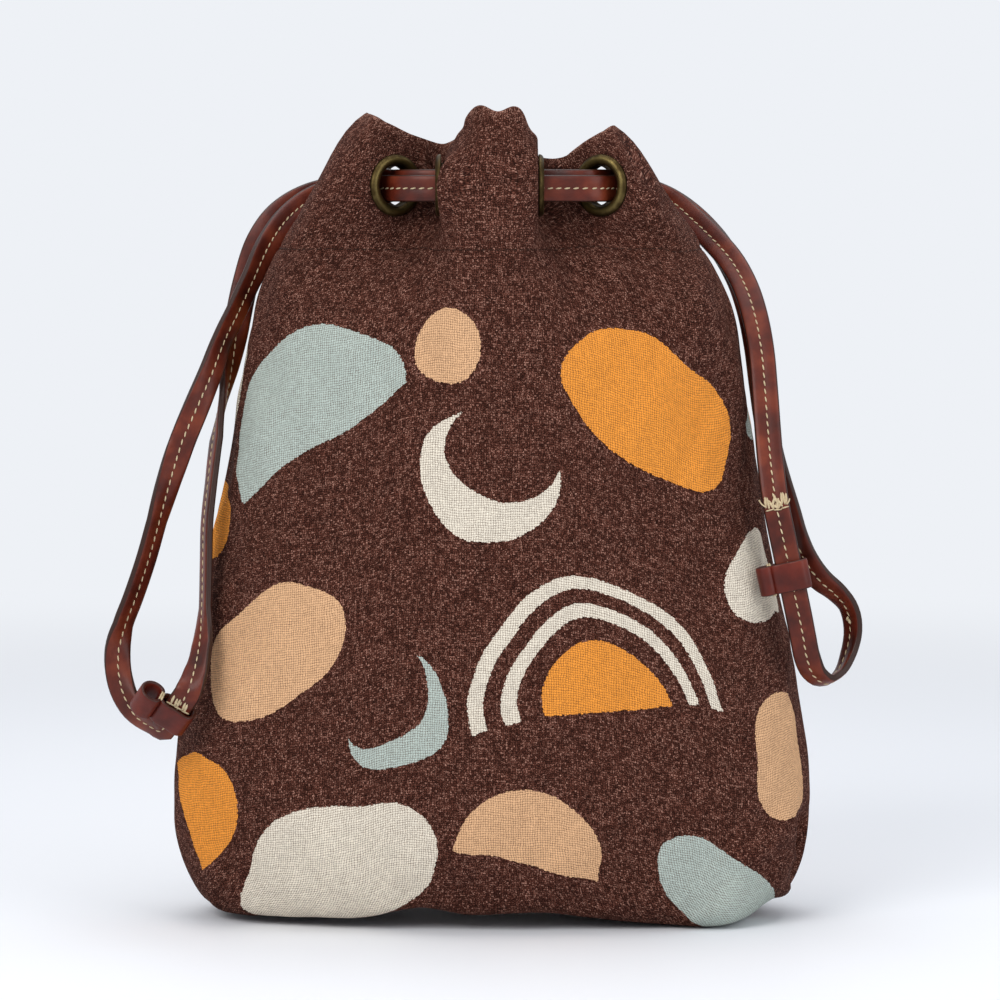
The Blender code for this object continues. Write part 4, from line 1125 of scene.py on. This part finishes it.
def lay_thread(bm, points, radius):
    """A loose piece of thread: a round tube along a smooth line through the points."""
    curve = bpy.data.curves.new("thread", "CURVE")
    curve.dimensions = "3D"
    curve.bevel_depth = radius
    curve.bevel_resolution = 2
    curve.use_fill_caps = True
    line = curve.splines.new("NURBS")
    line.points.add(len(points) - 1)
    for point, place in zip(line.points, points):
        point.co = (*place, 1)
    line.order_u = 3
    line.use_endpoint_u = True
    item = bpy.data.objects.new("thread", curve)
    tube = bpy.data.meshes.new_from_object(item)
    bm.from_mesh(tube)
    bpy.data.objects.remove(item)
    bpy.data.meshes.remove(tube)


def nearest(route, place_mm):
    """The strap's frame at the section nearest to a place."""
    k = int(np.argmin(np.linalg.norm(route[0] - np.array(place_mm) * MM, axis=1)))
    return [Vector(table[k]) for table in route]


# Bar tacks: where the two ends of each strap are joined, thick thread is sewn over and
# over across it. The left one shows as three long stitches, the right one as a zigzag
# with its ends left loose, and a knot ends the stitching inside the right-hand loop.

bm = bmesh.new()
place, heading, across, through = nearest(left_route, (-108.4, -38.8, 81.8))
for offset, run, slant in ((-2.4, 0.4, 8), (-1.5, 0.2, 8), (0.7, 0.1, 6), (1.6, 0.4, 9), (3.2, -0.2, 7)):
    for face in (1, -1):
        spot = place + across * offset * MM + heading * run * MM + through * face * 1.4 * MM
        sew(bm, spot, heading, through * face, (0.5 * MM, 2.6 * MM, 0.42 * MM), math.radians(slant))
for offset in (-2.8, 0, 2.8):
    spot = place + across * offset * MM + heading * 2.2 * MM + through * 1.4 * MM
    sew(bm, spot, across, through, (0.4 * MM, 1.9 * MM, 0.34 * MM), 0.1)
left_tack = mesh_object("left_strap_bar_tack", bm, cream_thread)

RIGHT_TACK = [  # across and along the strap, half its length, all in millimetres, and its slant in degrees
    (-3.7, -0.6, 2.0, -4), (-2.8, -0.2, 2.1, 3), (-1.7, 0.6, 1.9, 20), (-0.9, -0.4, 1.8, -24),
    (-0.1, -1.6, 1.9, 16), (0.5, 0.5, 2.0, -18), (1.3, 0.2, 1.7, 26), (2.2, -1.2, 2.1, -3),
    (3.0, -1.0, 2.2, 2), (3.8, -0.8, 2.0, -5), (-0.6, 1.2, 1.2, 50), (0.9, 1.4, 1.1, -40),
]
bm = bmesh.new()
place, heading, across, through = nearest(right_route, (101.4, -29.5, 150))
if through.dot(FRONT) < 0:
    through = -through
if across.x < 0:
    across = -across
for offset, run, half, slant in RIGHT_TACK:
    for face in (1, -1):
        spot = place + across * offset * MM + heading * run * MM + through * face * 1.36 * MM
        size = (0.5 * MM, (half + 0.3) * MM, 0.42 * MM)
        sew(bm, spot, heading, through * face, size, math.radians(slant))
for offset, run, slant in ((-2.6, 2.3, 0.1), (0.2, 2.6, -0.08), (2.8, 2.2, 0.12)):
    spot = place + across * offset * MM + heading * run * MM + through * 1.5 * MM
    sew(bm, spot, across, through, (0.28 * MM, 1.7 * MM, 0.28 * MM), slant)
for side, reach in ((-1, 1.0), (1, 0.6)):
    root = place + across * side * 3.6 * MM + through * 1.6 * MM + heading * 1.2 * MM
    lay_thread(bm, [
        root, root + (across * side * 1.0 + through * 0.5 - heading * 0.7) * reach * MM,
        root + (across * side * 1.9 + through * 0.6 - heading * 1.9) * reach * MM,
        root + (across * side * 2.2 + through * 0.8 - heading * 3.0) * reach * MM,
    ], 0.26 * MM)
place, heading, across, through = nearest(right_route, (128.6, -14.8, 109))
inward = -through if through.x > 0 else through
for offset, run, slant in ((0, 0, 0.9), (0.5, 0.4, -0.6), (-0.4, -0.5, 0.2)):
    spot = place + across * offset * MM + heading * run * MM + inward * 1.6 * MM
    sew(bm, spot, heading, inward, (0.55 * MM, 1.1 * MM, 0.5 * MM), slant)
right_tack = mesh_object("right_strap_bar_tack", bm, cream_thread)
for tack in (left_tack, right_tack):
    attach(tack, "root")

# Hem: the mouth's edge is turned in and sewn down with one row of dark cotton stitches,
# which lie in the shallow groove that they pull into the cloth.

HEM_PITCH = 2.7 * MM
HEM_STITCH = (0.24 * MM, 1.1 * MM, 0.2 * MM)
HEM_LIFT = 0.08 * MM
HEM_SLANT = 0.04


def sew_hem(name, place):
    normal = normals_of(place)
    row = BASE_ROWS + (PANEL_HEIGHT - HEM_DROP) / PANEL_HEIGHT * WALL_ROWS
    low, part = int(row), row - int(row)
    line = place[low] * (1 - part) + place[low + 1] * part
    travelled = travelled_along(line)
    bm = bmesh.new()
    for distance in np.arange(2 * HEM_PITCH, travelled[-1] - 2 * HEM_PITCH, HEM_PITCH):
        k = int(np.searchsorted(travelled, distance))
        out = normal[low, k]
        spot = place_at(distance, travelled, line) + out * HEM_LIFT
        sew(bm, spot, line[k] - line[k - 1], out, HEM_STITCH, HEM_SLANT)
    hem = mesh_object(name, bm, brown_thread)
    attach(hem, "root")
    return hem


front_hem = sew_hem("front_hem_stitches", front_place)
back_hem = sew_hem("back_hem_stitches", back_place)

# Keepers: a short band of the same leather, closed round the strap and drawn together
# beside it with a few turns of cream thread, which parts a snug tunnel from a small
# empty loop. It slides stiffly along the strap.

KEEPER_FIT = 0.6 * MM
KEEPER_WALL = 1.5 * MM
KEEPER_LENGTH = 10.5 * MM
KEEPER_LOOP_LEFT = 3.4 * MM
KEEPER_LOOP_RIGHT = 1.7 * MM
KEEPER_STEP = 0.5 * MM
WAIST_GAP = 0.15 * MM           # half of what the band's walls keep between them under the thread
# Half of the band's section, from its middle out to its rubbed end
KEEPER_SECTION_MM = [(0, 0.75), (2.6, 0.76), (4.5, 0.75), (4.95, 0.66), (5.18, 0.42), (5.25, 0.12)]

# The way of a turn of thread over one end of the waist: share of the face, and past the end
KEEPER_TURN = ((1, -2.8), (1.15, -1.2), (0.95, 0.2), (0, 0.4), (-0.95, 0.2), (-1.15, -1.2), (-1, -2.8))

keeper_leather = glazed_leather("glazed_keeper_leather", "#40110A", "#591A0E", "#702818", "#38170E")


def keeper_band(loop_radius):
    """The band's route in its own frame: round the tunnel, in at the waist, round the loop."""
    half_x, half_y = STRAP_WIDTH / 2 + KEEPER_FIT, STRAP_THICKNESS / 2 + KEEPER_FIT
    wall = KEEPER_WALL / 2
    middle = half_x + KEEPER_WALL + loop_radius
    end, top = half_x + wall, half_y + wall
    stops = [
        ((-end, 0), (-1, 0)), ((-end + 0.1 * MM, top - 1.1 * MM), (-1, 0.3)),
        ((-end + 1.1 * MM, top), (-0.4, 1)),
        ((0, top), (0, 1)), ((end - 2.2 * MM, top), (0.1, 1)),
        ((end - 0.6 * MM, top - 0.5 * MM), (0.6, 0.8)),
        ((end + wall * 0.6, WAIST_GAP + wall), (0.2, 1)),
    ]
    for turn in (130, 100, 65, 30):
        look = (math.cos(math.radians(turn)), math.sin(math.radians(turn)))
        stops.append(((middle + look[0] * (loop_radius + wall), look[1] * (loop_radius + wall)), look))
    mirrored = [((x, -y), (look_x, -look_y)) for (x, y), (look_x, look_y) in reversed(stops[1:])]
    tip = [((middle + loop_radius + wall, 0), (1, 0))]
    return [(Vector((*spot, 0)), Vector((*look, 0))) for spot, look in stops + tip + mirrored]


def make_keeper(name, place, loop_radius, body):
    bm = sweep(smooth_route(keeper_band(loop_radius), KEEPER_STEP), KEEPER_SECTION_MM, 4.7, 0.4)
    bmesh.ops.transform(bm, matrix=keeper_frame(*place), verts=bm.verts)
    keeper = mesh_object(name, bm, keeper_leather)
    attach(keeper, body)
    bm = bmesh.new()
    waist = STRAP_WIDTH / 2 + KEEPER_FIT + KEEPER_WALL / 2 + 0.5 * MM
    face, end = KEEPER_WALL + WAIST_GAP + 0.1 * MM, KEEPER_LENGTH / 2
    for sign in (1, -1):
        for shift in (0, 0.75 * MM):
            turn = [
                (waist + shift, face * side, sign * (end + out * MM))
                for side, out in KEEPER_TURN
            ]
            lay_thread(bm, turn, 0.36 * MM)
    bmesh.ops.transform(bm, matrix=keeper_frame(*place), verts=bm.verts)
    thread = mesh_object(name + "_thread", bm, cream_thread)
    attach(thread, body)
    return keeper, thread


left_keeper, left_keeper_thread = make_keeper("left_keeper", LEFT_KEEPER, KEEPER_LOOP_LEFT, "keeper_left")
right_keeper, right_keeper_thread = make_keeper(
    "right_keeper", RIGHT_KEEPER, KEEPER_LOOP_RIGHT, "keeper_right",
)
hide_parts("keeper_left")
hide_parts("keeper_right")
